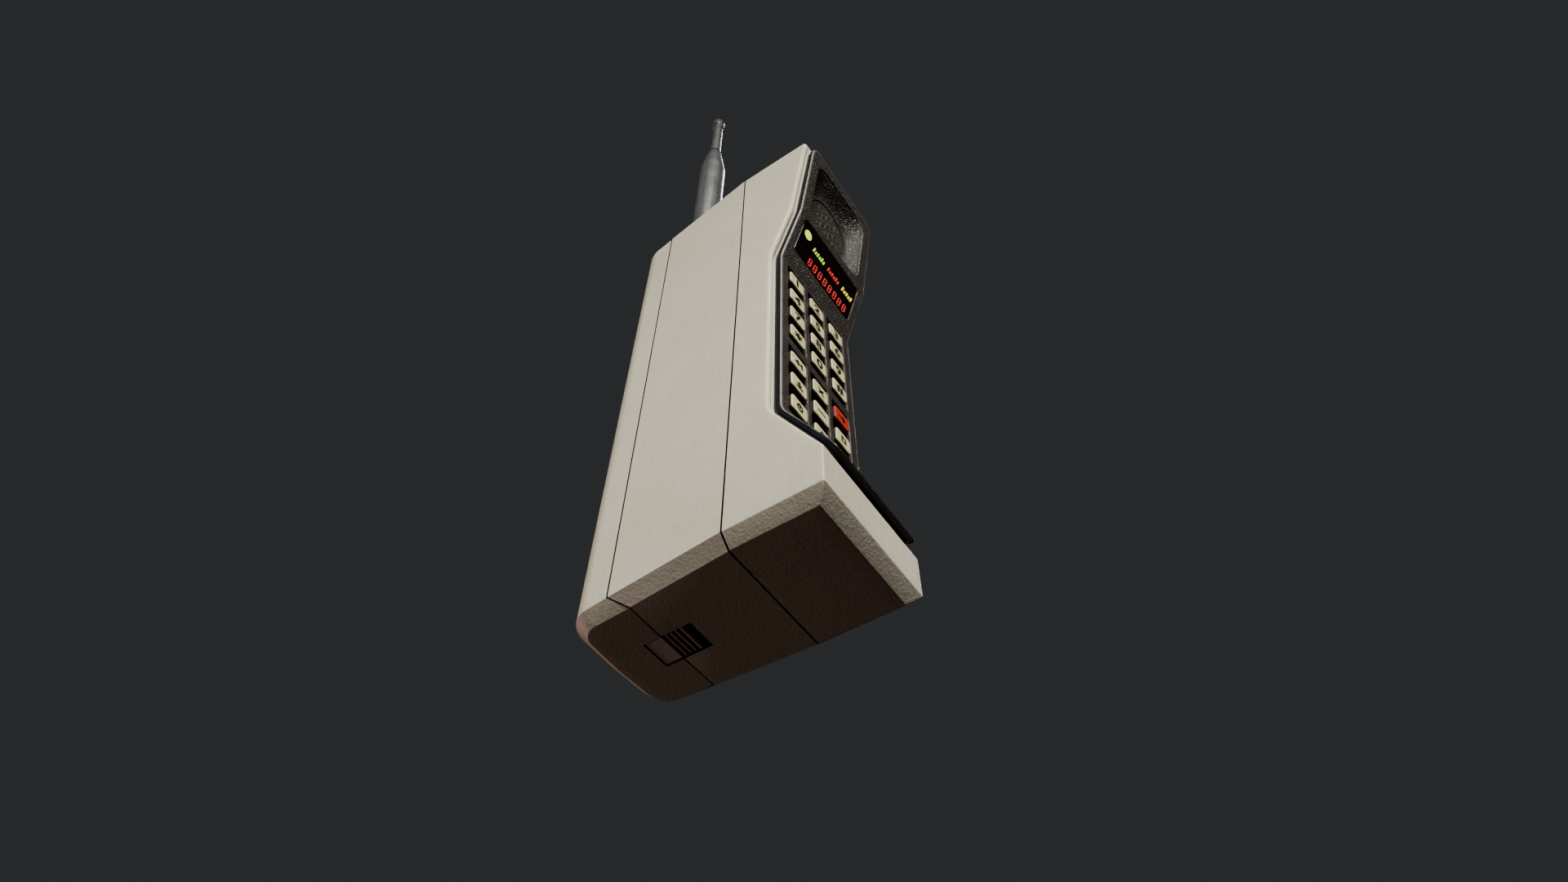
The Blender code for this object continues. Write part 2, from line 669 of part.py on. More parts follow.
def make_earpiece():
    scoop = on_front(SCOOP_Z, PLATE_PROUD)
    face = -SCOOP_DEPTH - GAP / 2
    grille = rod("earpiece_grille", GRILLE_RADIUS, face - GRILLE_THICK, face, scoop, DARK)
    number = 0
    for row in (-2, -1, 0, 1, 2):
        # rows of three holes, with rows of two set between them
        for column in (-0.5, 0.5) if row % 2 else (-1, 0, 1):
            number += 1
            x = column * GRILLE_PITCH_X
            hole = scoop @ Matrix.Translation((x, row * GRILLE_PITCH_Y, face))
            name = f"sound_hole_{number}"
            cut(grille, rod(name, GRILLE_HOLE_RADIUS, -2 * GRILLE_THICK, GRILLE_THICK, hole, steps=6))
    back = -SCOOP_DEPTH - PLATE_THICK - GAP
    rod("earpiece_speaker", GRILLE_RADIUS, back - SPEAKER_THICK, back, scoop, TIN)


def make_display():
    window = on_front(WINDOW_Z, PLATE_PROUD)
    outline = rectangle(WINDOW_WIDTH, WINDOW_HEIGHT, WINDOW_CORNER, 2)
    face = -GAP / 2
    slab("display_window", outline, face - WINDOW_THICK, face, window, GLASS)
    part_face = min(face - WINDOW_THICK, -PLATE_THICK) - GAP
    part_back = part_face - DISPLAY_PART_THICK
    digits = rectangle(DIGITS_WIDTH, DIGITS_HEIGHT, 0, 1, (DIGITS_X, DIGITS_UP))
    slab("digit_display", digits, part_back, part_face, window, GLASS)
    lamp = window @ Matrix.Translation((LAMP_X, LAMP_UP, 0))
    rod("status_lamp", LAMP_RADIUS, part_back, part_face, lamp, LIT, steps=16)
    board = rectangle(WINDOW_WIDTH, WINDOW_HEIGHT)
    slab("display_board", board, part_back - GAP - BOARD_THICK, part_back - GAP, window, BOARD)


KEY_NAMES = [
    ["key_1", "key_2", "key_3"],
    ["key_4", "key_5", "key_6"],
    ["key_7", "key_8", "key_9"],
    ["key_star", "key_0", "key_hash"],
    ["key_recall", "key_clear", "key_send"],
    ["key_store", "key_function", "key_end"],
    ["key_power", "key_lock", "key_volume"],
]


def row_height(row):
    if row < DIAL_ROWS:
        return DIAL_ROW_Z - row * KEY_PITCH_Z
    return FUNCTION_ROW_Z - (row - DIAL_ROWS) * KEY_PITCH_Z


def make_keys():
    outline = rectangle(KEY_WIDTH, KEY_HEIGHT, KEY_CORNER, 2)
    for row, names in enumerate(KEY_NAMES):
        for column, name in enumerate(names):
            spec = KEY_RED if name == "key_send" else KEY_CREAM
            spot = Matrix.Translation(((column - 1) * KEY_PITCH_X, KEYPAD_FACE_Y, row_height(row)))
            turn = Matrix(((1, 0, 0), (0, 0, -1), (0, 1, 0))).to_4x4()
            key = slab(name, outline, KEY_PROUD - KEY_DEPTH, KEY_PROUD, spot @ turn, spec)
            soften(key, KEY_EDGE)


def key_back_y():
    return KEYPAD_FACE_Y - KEY_PROUD + KEY_DEPTH


def board_front_y():
    mat_back = key_back_y() + KEY_TRAVEL + GAP + MAT_THICK
    return max(mat_back, KEYPAD_Y + WALL) + GAP


def keypad_ends():
    top = DIAL_ROW_Z + KEY_HEIGHT / 2 + WELL_MARGIN_Z
    bottom = row_height(len(KEY_NAMES) - 1) - KEY_HEIGHT / 2 - WELL_MARGIN_Z
    return bottom, top


def screw_places():
    bottom, top = keypad_ends()
    x = WIDTH / 2 - WALL - SCREW_HEAD_RADIUS - GAP
    return [(side * x, z) for z in (bottom + SCREW_INSET, top - SCREW_INSET) for side in (-1, 1)]


def make_keypad():
    bottom, top = keypad_ends()
    middle = (bottom + top) / 2
    mat = rectangle(OPENING_WIDTH - 4 * GAP, top - bottom, WELL_CORNER, 1, (0, middle))
    mat_front = key_back_y() + KEY_TRAVEL + GAP
    front = board_front_y()
    slab("keypad_mat", mat, GAP - front, -mat_front, FACING, RUBBER)
    board = rectangle(WIDTH - 2 * WALL - 2 * GAP, top - bottom, WELL_CORNER, 1, (0, middle))
    plate = slab("keypad_board", board, -front - BOARD_THICK, -front, FACING, BOARD)
    back = front + BOARD_THICK
    for number, (x, z) in enumerate(screw_places(), 1):
        axis = FACING @ Matrix.Translation((x, z, 0))
        hole_radius = SCREW_RADIUS + GAP
        cut(plate, rod(f"board_hole_{number}", hole_radius, -back - WALL, -front + WALL, axis, steps=12))
        shaft_end = -KEYPAD_Y - WALL + SCREW_BITE
        head = -back - GAP
        low = head - SCREW_HEAD_THICK
        middle_of_head = head - SCREW_HEAD_THICK / 2
        screw = rod(f"board_screw_{number}", SCREW_HEAD_RADIUS, low, head, axis, TIN, steps=12)
        join(screw, rod(f"screw_shaft_{number}", SCREW_RADIUS, middle_of_head, shaft_end, axis, steps=12))


def make_microphone():
    port = on_front(MIC_Z, PLATE_BACK)
    rod("microphone", MIC_RADIUS, -GAP - MIC_DEPTH, -GAP, port, TIN, steps=16)


def make_radio():
    deepest = RADIO_BOARD_Y + BOARD_THICK + GAP + FILTER_DEPTH
    half = half_width_at(deepest) - WALL - BOARD_MARGIN
    for name, front in (("logic_board", LOGIC_BOARD_Y), ("radio_board", RADIO_BOARD_Y)):
        box(name, (-half, front, BOARD_BOTTOM_Z), (half, front + BOARD_THICK, BOARD_TOP_Z), BOARD)
    front = RADIO_BOARD_Y + BOARD_THICK + GAP
    shield_top = SHIELD_BOTTOM_Z + SHIELD_LENGTH
    box("radio_shield", (-half, front, SHIELD_BOTTOM_Z), (half, front + SHIELD_DEPTH, shield_top), TIN)
    low = (half - FILTER_WIDTH, front, shield_top + FILTER_GAP)
    box("antenna_filter", low, (half, front + FILTER_DEPTH, low[2] + FILTER_LENGTH), TIN)


def make_antenna():
    frame = Matrix.Translation((ANTENNA_X, ANTENNA_Y, 0))
    base = top_at(ANTENNA_Y - ANTENNA_RADIUS) + 2 * GAP
    top = HEIGHT + ANTENNA_RISE
    cap = top - ANTENNA_CAP_LENGTH
    neck = cap - ANTENNA_NECK_LENGTH
    shoulder = neck - ANTENNA_TAPER_LENGTH
    edge = ANTENNA_CAP_RADIUS / 4
    profile = [
        (0, top),
        (ANTENNA_CAP_RADIUS - edge, top),
        (ANTENNA_CAP_RADIUS, top - edge),
        (ANTENNA_CAP_RADIUS, cap),
        (ANTENNA_NECK_RADIUS, cap),
        (ANTENNA_NECK_RADIUS, neck),
        (ANTENNA_RADIUS, shoulder),
        (ANTENNA_RADIUS, base),
        (STUD_RADIUS, base),
        (STUD_RADIUS, base - STUD_LENGTH),
        (0, base - STUD_LENGTH),
    ]
    turned("antenna", profile, frame, STEEL)
    high = base - GAP
    low = base - STUD_LENGTH
    bore = STUD_RADIUS + GAP
    ring = [(SOCKET_RADIUS, high), (SOCKET_RADIUS, low), (bore, low), (bore, high)]
    turned("antenna_socket", ring, frame, BRASS, closed=True)


def make_battery():
    case = case_block("battery_case", CREAM)
    keep(case, pack_seam("case_pack_seam", GAP / 2))
    cut(case, cavity("case_cavity", FRONT_Y, BACK_Y))
    cut(case, LATCH_RECESS)
    inner = half_width_at(TRAY_Y + TRAY_DEPTH) - WALL - GAP
    bottom = FLOOR_Z + GAP
    back = TRAY_Y + TRAY_DEPTH
    wall = TRAY_THICK
    floor = TRAY_Y + wall
    tray = box("battery_tray", (-inner, TRAY_Y, bottom), (inner, back, tray_top()), DARK)
    hollow_low = (-inner + wall, floor, bottom + wall)
    cut(tray, box("tray_hollow", hollow_low, (inner - wall, back + OUTSIDE, tray_top() - wall)))
    board_low = tray_top() - wall - GAP - PACK_BOARD_HEIGHT
    make_cells(inner - wall, floor, bottom + wall, board_low - GAP)
    board_front = floor + TERMINAL_DEPTH
    half = inner - wall - GAP
    high = (half, board_front + BOARD_THICK, board_low + PACK_BOARD_HEIGHT)
    box("pack_board", (-half, board_front, board_low), high, BOARD)
    for side, sign in ((-1, "minus"), (1, "plus")):
        low, high = terminal_box(side, TRAY_Y - GAP, floor + GAP, GAP)
        cut(tray, box(f"terminal_window_{sign}", low, high))
        low, high = terminal_box(side, TRAY_Y, board_front - GAP, 0)
        box(f"pack_terminal_{sign}", low, high, BRASS)
        low, high = terminal_box(side, BULKHEAD_Y - TERMINAL_DEPTH, BULKHEAD_BACK_Y, 0)
        box(f"battery_contact_{sign}", low, high, BRASS)


def make_cells(half, front, low, high):
    """Two columns of cells fill the pack, as thick as its depth and width let them be."""
    depth = BACK_Y - BACK_CROWN - WALL - front
    radius = min(depth / 2, half / 2) - GAP
    length = (high - low) / CELL_ROWS - GAP
    number = 0
    for side in (-1, 1):
        axis = Matrix.Translation((side * (radius + GAP), front + GAP + radius, 0))
        for row in range(CELL_ROWS):
            number += 1
            base = low + row * (length + GAP) + GAP
            rod(f"battery_cell_{number}", radius, base, base + length, axis, CELL, steps=16)


def make_latch():
    low_z = LATCH_RISE
    high_z = LATCH_RISE + LATCH_THICK
    half = LATCH_WIDTH / 2
    latch = box("battery_latch", (-half, LATCH_FRONT_Y, low_z), (half, LATCH_BACK_Y, high_z), DARK)
    for rib in range(LATCH_RIBS):
        front = LATCH_FRONT_Y + LATCH_RIB_PITCH * (rib + 0.5)
        back = front + LATCH_RIB_PITCH / 2
        cut(latch, box(f"rib_gap_{rib}", (-WIDTH, front, -OUTSIDE), (WIDTH, back, low_z + LATCH_RIB_DEPTH)))
    wide = LATCH_STEM / 2
    tall = FLOOR_Z + WALL / 2
    low = (-wide, LATCH_STEM_Y - wide, high_z - LATCH_THICK / 2)
    join(latch, box("latch_stem", low, (wide, LATCH_STEM_Y + wide, tall)))
    low = (-half / 2, LATCH_STEM_Y - LATCH_TRAVEL - LATCH_STEM, tall + GAP)
    high = (half / 2, LATCH_STEM_Y + LATCH_STEM, tall + GAP + LATCH_SPRING_THICK)
    box("latch_spring", low, high, TIN)


OUTER_SIDE = side_slab("outer_side", 0, -OUTSIDE / 4)
round_front_edges(OUTER_SIDE)
INNER_SIDE = side_slab("inner_side", WALL, FLOOR_Z - WALL)
LATCH_RECESS = latch_recess()

make_front_housing()
make_rear_housing()
make_face_plate()
make_face_gasket()
make_earpiece()
make_display()
make_keys()
make_keypad()
make_microphone()
make_radio()
make_antenna()
make_battery()
make_latch()
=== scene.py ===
import bmesh
import bpy
import numpy as np
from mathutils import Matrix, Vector


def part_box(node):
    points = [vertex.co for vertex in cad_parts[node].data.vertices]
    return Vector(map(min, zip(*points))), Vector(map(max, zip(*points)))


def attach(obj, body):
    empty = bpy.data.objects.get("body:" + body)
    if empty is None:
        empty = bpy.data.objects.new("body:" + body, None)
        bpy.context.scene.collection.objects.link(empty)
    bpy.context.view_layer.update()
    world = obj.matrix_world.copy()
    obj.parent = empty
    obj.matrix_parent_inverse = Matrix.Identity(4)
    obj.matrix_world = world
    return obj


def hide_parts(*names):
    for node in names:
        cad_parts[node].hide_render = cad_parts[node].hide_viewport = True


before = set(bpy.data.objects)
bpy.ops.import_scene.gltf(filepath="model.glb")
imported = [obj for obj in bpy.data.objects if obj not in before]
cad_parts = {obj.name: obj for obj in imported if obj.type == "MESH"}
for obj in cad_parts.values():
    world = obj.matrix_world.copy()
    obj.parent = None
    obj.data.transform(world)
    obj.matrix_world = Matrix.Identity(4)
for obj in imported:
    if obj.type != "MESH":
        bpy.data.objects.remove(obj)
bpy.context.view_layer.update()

mm = 0.001
print("telephone: frame loaded,", len(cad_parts), "parts")


def unit(way):
    return way / np.linalg.norm(way, axis=-1, keepdims=True)


def filletPath(corners, radii, steps):
    # straight runs joined by arcs: the arc at a corner touches both runs a tangent length away from it
    corners = np.array(corners, float)
    almostStraight = np.pi / 2 - 1e-4
    out = [corners[:1]]
    for here in range(1, len(corners) - 1):
        back = unit(corners[here - 1] - corners[here])
        ahead = unit(corners[here + 1] - corners[here])
        half = np.arccos(np.clip(back @ ahead, -1, 1)) / 2
        if radii[here] <= 0 or half > almostStraight:
            out.append(corners[here:here + 1])
            continue
        middle = corners[here] + unit(back + ahead) * radii[here] / np.sin(half)
        start = corners[here] + back * radii[here] / np.tan(half) - middle
        end = corners[here] + ahead * radii[here] / np.tan(half) - middle
        first = np.arctan2(start[1], start[0])
        turn = (np.arctan2(end[1], end[0]) - first + np.pi) % (2 * np.pi) - np.pi
        angle = first + turn * np.linspace(0, 1, steps + 1)
        out.append(middle + radii[here] * np.stack([np.cos(angle), np.sin(angle)], 1))
    out.append(corners[-1:])
    return np.concatenate(out)


def lengthAlong(path):
    # running length of a path from its first point
    steps = np.linalg.norm(np.diff(path, axis=0), axis=1)
    return np.concatenate([[0], np.cumsum(steps)])


# the front of the case from the side, as (y, z) from the base up: chin, keypad, display's slope, brow
frontLine = {
    "corners": [(-40.6, 0), (-40.6, 17.3), (-23.9, 45.3), (-23.9, 134.5), (-32.4, 160.5), (-39.4, 209.0)],
    "radii": [0, 1.2, 13.4, 10.0, 12.0, 0],
}
linePath = filletPath(frontLine["corners"], frontLine["radii"], 20) * mm
lineS = lengthAlong(linePath)
lineWay = np.gradient(linePath, lineS, axis=0)
lineTurn = np.arctan2(lineWay[:, 1], lineWay[:, 0])


def lineAt(s):
    # (y, z) of the front line at a running length, and its outward direction
    turn = np.interp(s, lineS, lineTurn)
    y = np.interp(s, lineS, linePath[:, 0])
    z = np.interp(s, lineS, linePath[:, 1])
    return y, z, -np.sin(turn), np.cos(turn)


def sAtHeight(z, away=0.0):
    # running length at which the line, moved outwards, has the height z
    y, heights, outY, outZ = lineAt(lineS)
    return np.interp(z, heights + outZ * away, lineS)


def onFace(x, s, away):
    # a point of the face: across, along the front line, and outwards from it
    y, z, outY, outZ = lineAt(s)
    return np.stack(np.broadcast_arrays(x, y + outY * away, z + outZ * away), -1)


def sideStations(count, arcSteps, length, radius):
    # one side of a rounded rectangle as (run, depth): half an arc, a straight run, half an arc
    angle = np.linspace(np.pi / 4, 0, arcSteps + 1)
    arcRun = radius * (1 - np.sin(angle))
    arcDepth = radius * (1 - np.cos(angle))
    straight = np.linspace(radius, length - radius, count - 2 * arcSteps + 1)
    run = np.concatenate([arcRun[:-1], straight, length - arcRun[::-1][1:]])
    depth = np.concatenate([arcDepth[:-1], straight * 0, arcDepth[::-1][1:]])
    return run, depth


def roundedLoop(width, height, radius, across, up, arcSteps=3):
    # a rounded rectangle from its lower left corner round, its opposite sides mirrored
    radius = max(min(radius, width / 2, height / 2), 0)
    a, b = width / 2, height / 2
    runX, inX = sideStations(across, arcSteps, width, radius)
    runY, inY = sideStations(up, arcSteps, height, radius)
    sides = [np.stack([runX - a, inX - b], 1)[:-1], np.stack([a - inY, runY - b], 1)[:-1]]
    return np.concatenate(sides + [-side for side in sides])


def plainLoop(xs, ys):
    # a rectangle through given stations, matching roundedLoop's order
    across, up = np.ones(len(xs) - 1), np.ones(len(ys) - 1)
    x = np.concatenate([xs[:-1], xs[-1] * up, xs[:0:-1], xs[0] * up])
    y = np.concatenate([ys[0] * across, ys[:-1], ys[-1] * across, ys[:0:-1]])
    return np.stack([x, y], 1)


def quarterRound(radius, steps):
    # an edge's rounding as (inwards, below the face), from the face down to the wall
    angle = np.linspace(0, np.pi / 2, steps + 1)
    return np.stack([radius * (1 - np.sin(angle)), radius * (1 - np.cos(angle))], 1)


def turned(profile, steps, centre):
    # a profile of (radius, height) turned about the upright axis through a centre
    path = np.array(profile, float)
    angle = np.linspace(0, 2 * np.pi, steps, endpoint=False)
    ring = [path[:, :1] * np.cos(angle), path[:, :1] * np.sin(angle), path[:, 1:] + 0 * angle]
    return np.stack(ring, -1) + np.array(centre)


class Sheets:
    # several grids of points that become one mesh

    def __init__(self):
        self.points, self.faces, self.edges, self.slots, self.count = [], [], [], [], 0

    def add(self, grid, wrap=False, edge=0.0, keep=None, slot=0, flip=False):
        # Rows by columns by xyz. Wrap joins the last column to the first, keep picks cells, and edge says how
        # worn the rows or the points are; on the face plate's rim and the grille's rims it also places a
        # painted highlight.
        rows, columns = grid.shape[:2]
        index = np.arange(rows * columns).reshape(rows, columns) + self.count
        across = np.roll(index, -1, 1) if wrap else index[:, 1:]
        index = index if wrap else index[:, :-1]
        quads = np.stack([index[:-1], across[:-1], across[1:], index[1:]], -1)
        quads = quads[..., ::-1] if flip else quads
        quads = quads.reshape(-1, 4) if keep is None else quads[keep]
        worn = np.asarray(edge, float)
        worn = worn[:, None] if worn.ndim == 1 else worn
        self.points.append(grid.reshape(-1, 3))
        self.faces.append(quads)
        self.edges.append(np.broadcast_to(worn, (rows, columns)).reshape(-1))
        self.slots.append(np.full(len(quads), slot))
        self.count += rows * columns
        return self

    def mesh(self, name, sharpAngle=40, outward=True):
        weld = 2e-6
        mesh = bpy.data.meshes.new(name)
        mesh.from_pydata(np.concatenate(self.points), [], np.concatenate(self.faces))
        worn = mesh.attributes.new("edge", "FLOAT", "POINT")
        worn.data.foreach_set("value", np.concatenate(self.edges).astype(np.float32))
        mesh.polygons.foreach_set("material_index", np.concatenate(self.slots).astype(np.int32))
        shape = bmesh.new()
        shape.from_mesh(mesh)
        bmesh.ops.remove_doubles(shape, verts=shape.verts, dist=weld)
        bmesh.ops.dissolve_degenerate(shape, edges=shape.edges, dist=weld)
        if outward:
            bmesh.ops.recalc_face_normals(shape, faces=shape.faces)
        shape.to_mesh(mesh)
        shape.free()
        mesh.shade_smooth()
        mesh.set_sharp_from_angle(angle=np.radians(sharpAngle))
        return mesh


def assign(thing, **values):
    for key, value in values.items():
        setattr(thing, key, value)
    return thing


def linked(name, data):
    made = bpy.data.objects.new(name, data)
    bpy.context.scene.collection.objects.link(made)
    return made


def addPiece(name, mesh, body, finishes, stands=()):
    # put a mesh into the scene, riding on a body and standing for the parts it replaces
    piece = linked(name, mesh)
    for finish in finishes:
        mesh.materials.append(finish)
    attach(piece, body)
    if stands:
        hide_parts(*stands)
    return piece


def thicken(piece, depth):
    wall = piece.modifiers.new("Wall", "SOLIDIFY")
    # the wall's rims take the second finish, which on the case is painted shade in the seams
    assign(wall, thickness=depth, offset=-1, use_even_offset=True, material_offset_rim=1)


def softenEdges(piece, width, segments, angle):
    bevel = piece.modifiers.new("Edges", "BEVEL")
    assign(bevel, width=width, segments=segments, limit_method="ANGLE", angle_limit=np.radians(angle),
           harden_normals=True)


class Wire:
    # a node's output that can be added to, taken away and multiplied

    def __init__(self, finish, socket):
        self.finish, self.socket = finish, socket

    def __add__(self, other):
        return self.finish.sum("ADD", self, other)

    def __sub__(self, other):
        return self.finish.sum("SUBTRACT", self, other)

    def __rsub__(self, other):
        return self.finish.sum("SUBTRACT", other, self)

    def __mul__(self, other):
        return self.finish.sum("MULTIPLY", self, other)

    __radd__ = __add__
    __rmul__ = __mul__


class Finish:
    # one material: a Principled shader, with its fixed values set on its own sockets

    def __init__(self, name, **fixed):
        self.material = bpy.data.materials.new(name)
        self.material.use_nodes = True
        self.tree = self.material.node_tree
        self.shader = self.tree.nodes["Principled BSDF"]
        for key, value in fixed.items():
            self.shader.inputs[key.replace("_", " ")].default_value = value
        self.place = self.node("ShaderNodeTexCoord", {}, "Object")

    def node(self, kind, values, output=0, **settings):
        # a node of a kind: its settings come first, then the values or wires of its sockets
        made = assign(self.tree.nodes.new(kind), **settings)
        for key, value in values.items():
            self.feed(made.inputs[key], value)
        return Wire(self, made.outputs[output])

    def feed(self, socket, value):
        # colours are given as red, green and blue
        if isinstance(value, Wire):
            self.tree.links.new(value.socket, socket)
        else:
            socket.default_value = (*value, 1) if socket.type == "RGBA" else value

    def sum(self, operation, a, b):
        return self.node("ShaderNodeMath", {0: a, 1: b}, operation=operation)

    def at(self, scale=(1, 1, 1), turn=(0, 0, 0)):
        return self.node("ShaderNodeMapping", {"Vector": self.place, "Scale": scale, "Rotation": turn})

    def noise(self, size, detail=3.0, rough=0.5, spot=None):
        # grain of about that size in metres, from 0 to 1
        values = {"Vector": spot or self.place, "Scale": 1 / size, "Detail": detail, "Roughness": rough}
        return self.node("ShaderNodeTexNoise", values)

    def cells(self, size, feature="F1", spot=None):
        values = {"Vector": spot or self.place, "Scale": 1 / size}
        return self.node("ShaderNodeTexVoronoi", values, feature=feature)

    def spread(self, value, low, high, newLow=0.0, newHigh=1.0):
        values = {"Value": value, "From Min": low, "From Max": high, "To Min": newLow, "To Max": newHigh}
        return self.node("ShaderNodeMapRange", values, interpolation_type="SMOOTHSTEP")

    def mix(self, share, a, b):
        return self.node("ShaderNodeMix", {0: share, 6: a, 7: b}, 2, data_type="RGBA")

    def worn(self):
        # 1 along a piece's rounded edges
        return self.node("ShaderNodeAttribute", {}, "Fac", attribute_name="edge")

    def bump(self, height, depth):
        return self.node("ShaderNodeBump", {"Height": height, "Distance": depth})

    def set(self, tone, rough, bumps=None, **others):
        for key, value in {"Base Color": tone, "Roughness": rough, "Normal": bumps, **others}.items():
            if value is not None:
                self.feed(self.shader.inputs[key.replace("_", " ")], value)
        return self.material


def mouldedPlastic(name, pale, deep, roughness, grain=0.0007, relief=0.00011, coat=0.0):
    # moulded plastic: slow mottling, a fine spark-eroded grain, and edges rubbed paler and smoother
    finish = Finish(name, Coat_Roughness=0.25, IOR=1.5)
    slow = finish.noise(0.03, 2.0)
    mottle = finish.noise(0.0022, 4.0, 0.6)
    fine = finish.noise(grain, 3.0, 0.6)
    streaks = finish.noise(0.0012, 3.0, 0.55, finish.at((1.0, 1.0, 0.12)))
    edge = finish.worn()
    share = finish.spread(slow * 0.45 + mottle * 0.35 + streaks * 0.2, 0.36, 0.64)
    body = finish.mix(share, deep, pale)
    paler = tuple(min(1, v * 1.18) for v in pale)
    rubbed = finish.mix(edge * finish.spread(mottle, 0.35, 0.7) * 0.45, body, paler)
    rough = fine * 0.12 + mottle * 0.1 + (roughness - 0.11) - edge * 0.06
    bumps = finish.bump(fine + mottle * 0.7 + streaks * 0.6, relief)
    return finish.set(rubbed, rough, bumps, Coat_Weight=coat)


keyFinish = {"roughness": 0.42, "grain": 0.0004, "relief": 0.00003}
casePlastic = mouldedPlastic("casePlastic", (0.62, 0.585, 0.475), (0.565, 0.525, 0.42), 0.5)
# the latch's plastic: the case's cream made paler, painted light for a latch that sits in the base's shade
latchLitPlastic = mouldedPlastic("latchLitPlastic", (0.86, 0.80, 0.76), (0.76, 0.70, 0.66), 0.36, coat=0.5)
keyPlastic = mouldedPlastic("keyPlastic", (0.70, 0.64, 0.36), (0.62, 0.56, 0.31), **keyFinish)
redPlastic = mouldedPlastic("redKeyPlastic", (0.50, 0.03, 0.018), (0.40, 0.022, 0.014), **keyFinish)


def grainedFace():
    # dark face plate: leather grain of small pebbles between creases, the creases darkened with painted
    # shade, paler and shinier along its edges from wear and a painted highlight
    finish = Finish("grainedFace", IOR=1.5)
    pebble = 0.00085
    warp = finish.noise(0.0011, 2.0)
    pebbles = finish.cells(pebble)
    creases = finish.cells(pebble, "DISTANCE_TO_EDGE")
    fine = finish.noise(0.00025)
    slow = finish.spread(finish.noise(0.012), 0.35, 0.65)
    edge = finish.worn()
    creaseShade = finish.spread(creases, 0.0, 0.16)
    dome = finish.spread(creases, 0.0, 0.42)
    tone = finish.mix(slow, (0.024, 0.020, 0.017), (0.037, 0.031, 0.027))
    # painted shade: the creases between pebbles darker
    tone = finish.mix(creaseShade, (0.014, 0.012, 0.011), tone)
    # edges paler: wear, and on the plate's outer rim and the grille's rims a painted highlight
    tone = finish.mix(edge * finish.spread(warp, 0.2, 0.5) * 0.8, tone, (0.30, 0.28, 0.26))
    rough = 0.33 + fine * 0.12 + pebbles * 0.1 - edge * 0.08
    height = (dome * 0.8 + fine * 0.2 + warp * 0.4) * (1.0 - edge)
    return finish.set(tone, rough, finish.bump(height, 0.00026))


def rubber(name, tone, roughness, ior=1.5):
    # near black and matt: rubber, and the painted shade put into seams, recesses, holes and grooves and on
    # the face plate's side; with dust in slow patches and a fine grain
    finish = Finish(name, IOR=ior)
    dust = finish.spread(finish.noise(0.006, 4.0), 0.45, 0.75)
    fine = finish.noise(0.0003)
    shade = finish.mix(dust * 0.35, tone, tuple(v * 2.2 + 0.004 for v in tone))
    return finish.set(shade, fine * 0.15 + roughness, finish.bump(fine, 0.00001))


# painted shade: the face plate's side, darker and bluer than its face, stands in for the shade between lip
# and plate
plateSideShade = rubber("plateSideShade", (0.003, 0.0042, 0.0072), 0.42, 1.25)
gasketRubber = rubber("gasketRubber", (0.005, 0.007, 0.010), 0.5)
# painted shade: near black and barely shiny, laid where shade falls in the case's seams, the latch's recess
# and grooves, and the grille's holes
paintedShade = rubber("paintedShade", (0.0035, 0.003, 0.0028), 0.8, 1.1)
matRubber = rubber("matRubber", (0.006, 0.006, 0.008), 0.5)


def displayLens():
    # smoked lens: near black and glossy, with faint finger marks in its roughness
    finish = Finish("displayLens", Coat_Roughness=0.03, IOR=1.49)
    smear = finish.noise(0.004, 5.0, 0.65, finish.at((1.0, 1.0, 0.4), (0, 0.5, 0)))
    tint = finish.mix(finish.noise(0.01), (0.0025, 0.0018, 0.0022), (0.005, 0.003, 0.0035))
    return finish.set(tint, finish.spread(smear, 0.4, 0.75, 0.05, 0.16), Coat_Weight=0.6)


def litLens(name, tone, edgeTone, power):
    # lit diffuser: hottest in slow patches, with a moulded stipple
    finish = Finish(name, Emission_Strength=power)
    glow = finish.spread(finish.noise(0.0007, 2.0), 0.3, 0.62)
    lit = finish.mix(glow, edgeTone, tone)
    dim = finish.mix(0.7, lit, (0.02, 0.02, 0.02))
    fine = finish.noise(0.0002)
    return finish.set(dim, fine * 0.2 + 0.3, Emission_Color=lit)


def metal(name, pale, deep, roughness, stretch=(1, 1, 1), relief=0.000004, shine=1.0, grain=0.0004):
    # metal: brushed or drawn streaks along the short axis of stretch, with tarnish in slow patches
    finish = Finish(name, Metallic=shine)
    streak = finish.noise(grain, 4.0, 0.6, finish.at(stretch))
    tarnish = finish.noise(0.008, 4.0, 0.6)
    share = finish.spread(streak * 0.5 + tarnish * 0.5, 0.38, 0.62)
    tone = finish.mix(share, deep, pale)
    rough = streak * 0.14 + tarnish * 0.1 + (roughness - 0.12)
    return finish.set(tone, rough, finish.bump(streak, relief))


antennaMetal = metal("antennaMetal", (0.50, 0.53, 0.55), (0.42, 0.45, 0.48), 0.28,
                     stretch=(1, 1, 0.03), relief=0.000002, shine=0.85, grain=0.0012)
tinnedSteel = metal("tinnedSteel", (0.66, 0.66, 0.64), (0.48, 0.48, 0.46), 0.36, (1, 0.2, 1))
brass = metal("brassBlades", (0.80, 0.60, 0.27), (0.55, 0.38, 0.15), 0.3)


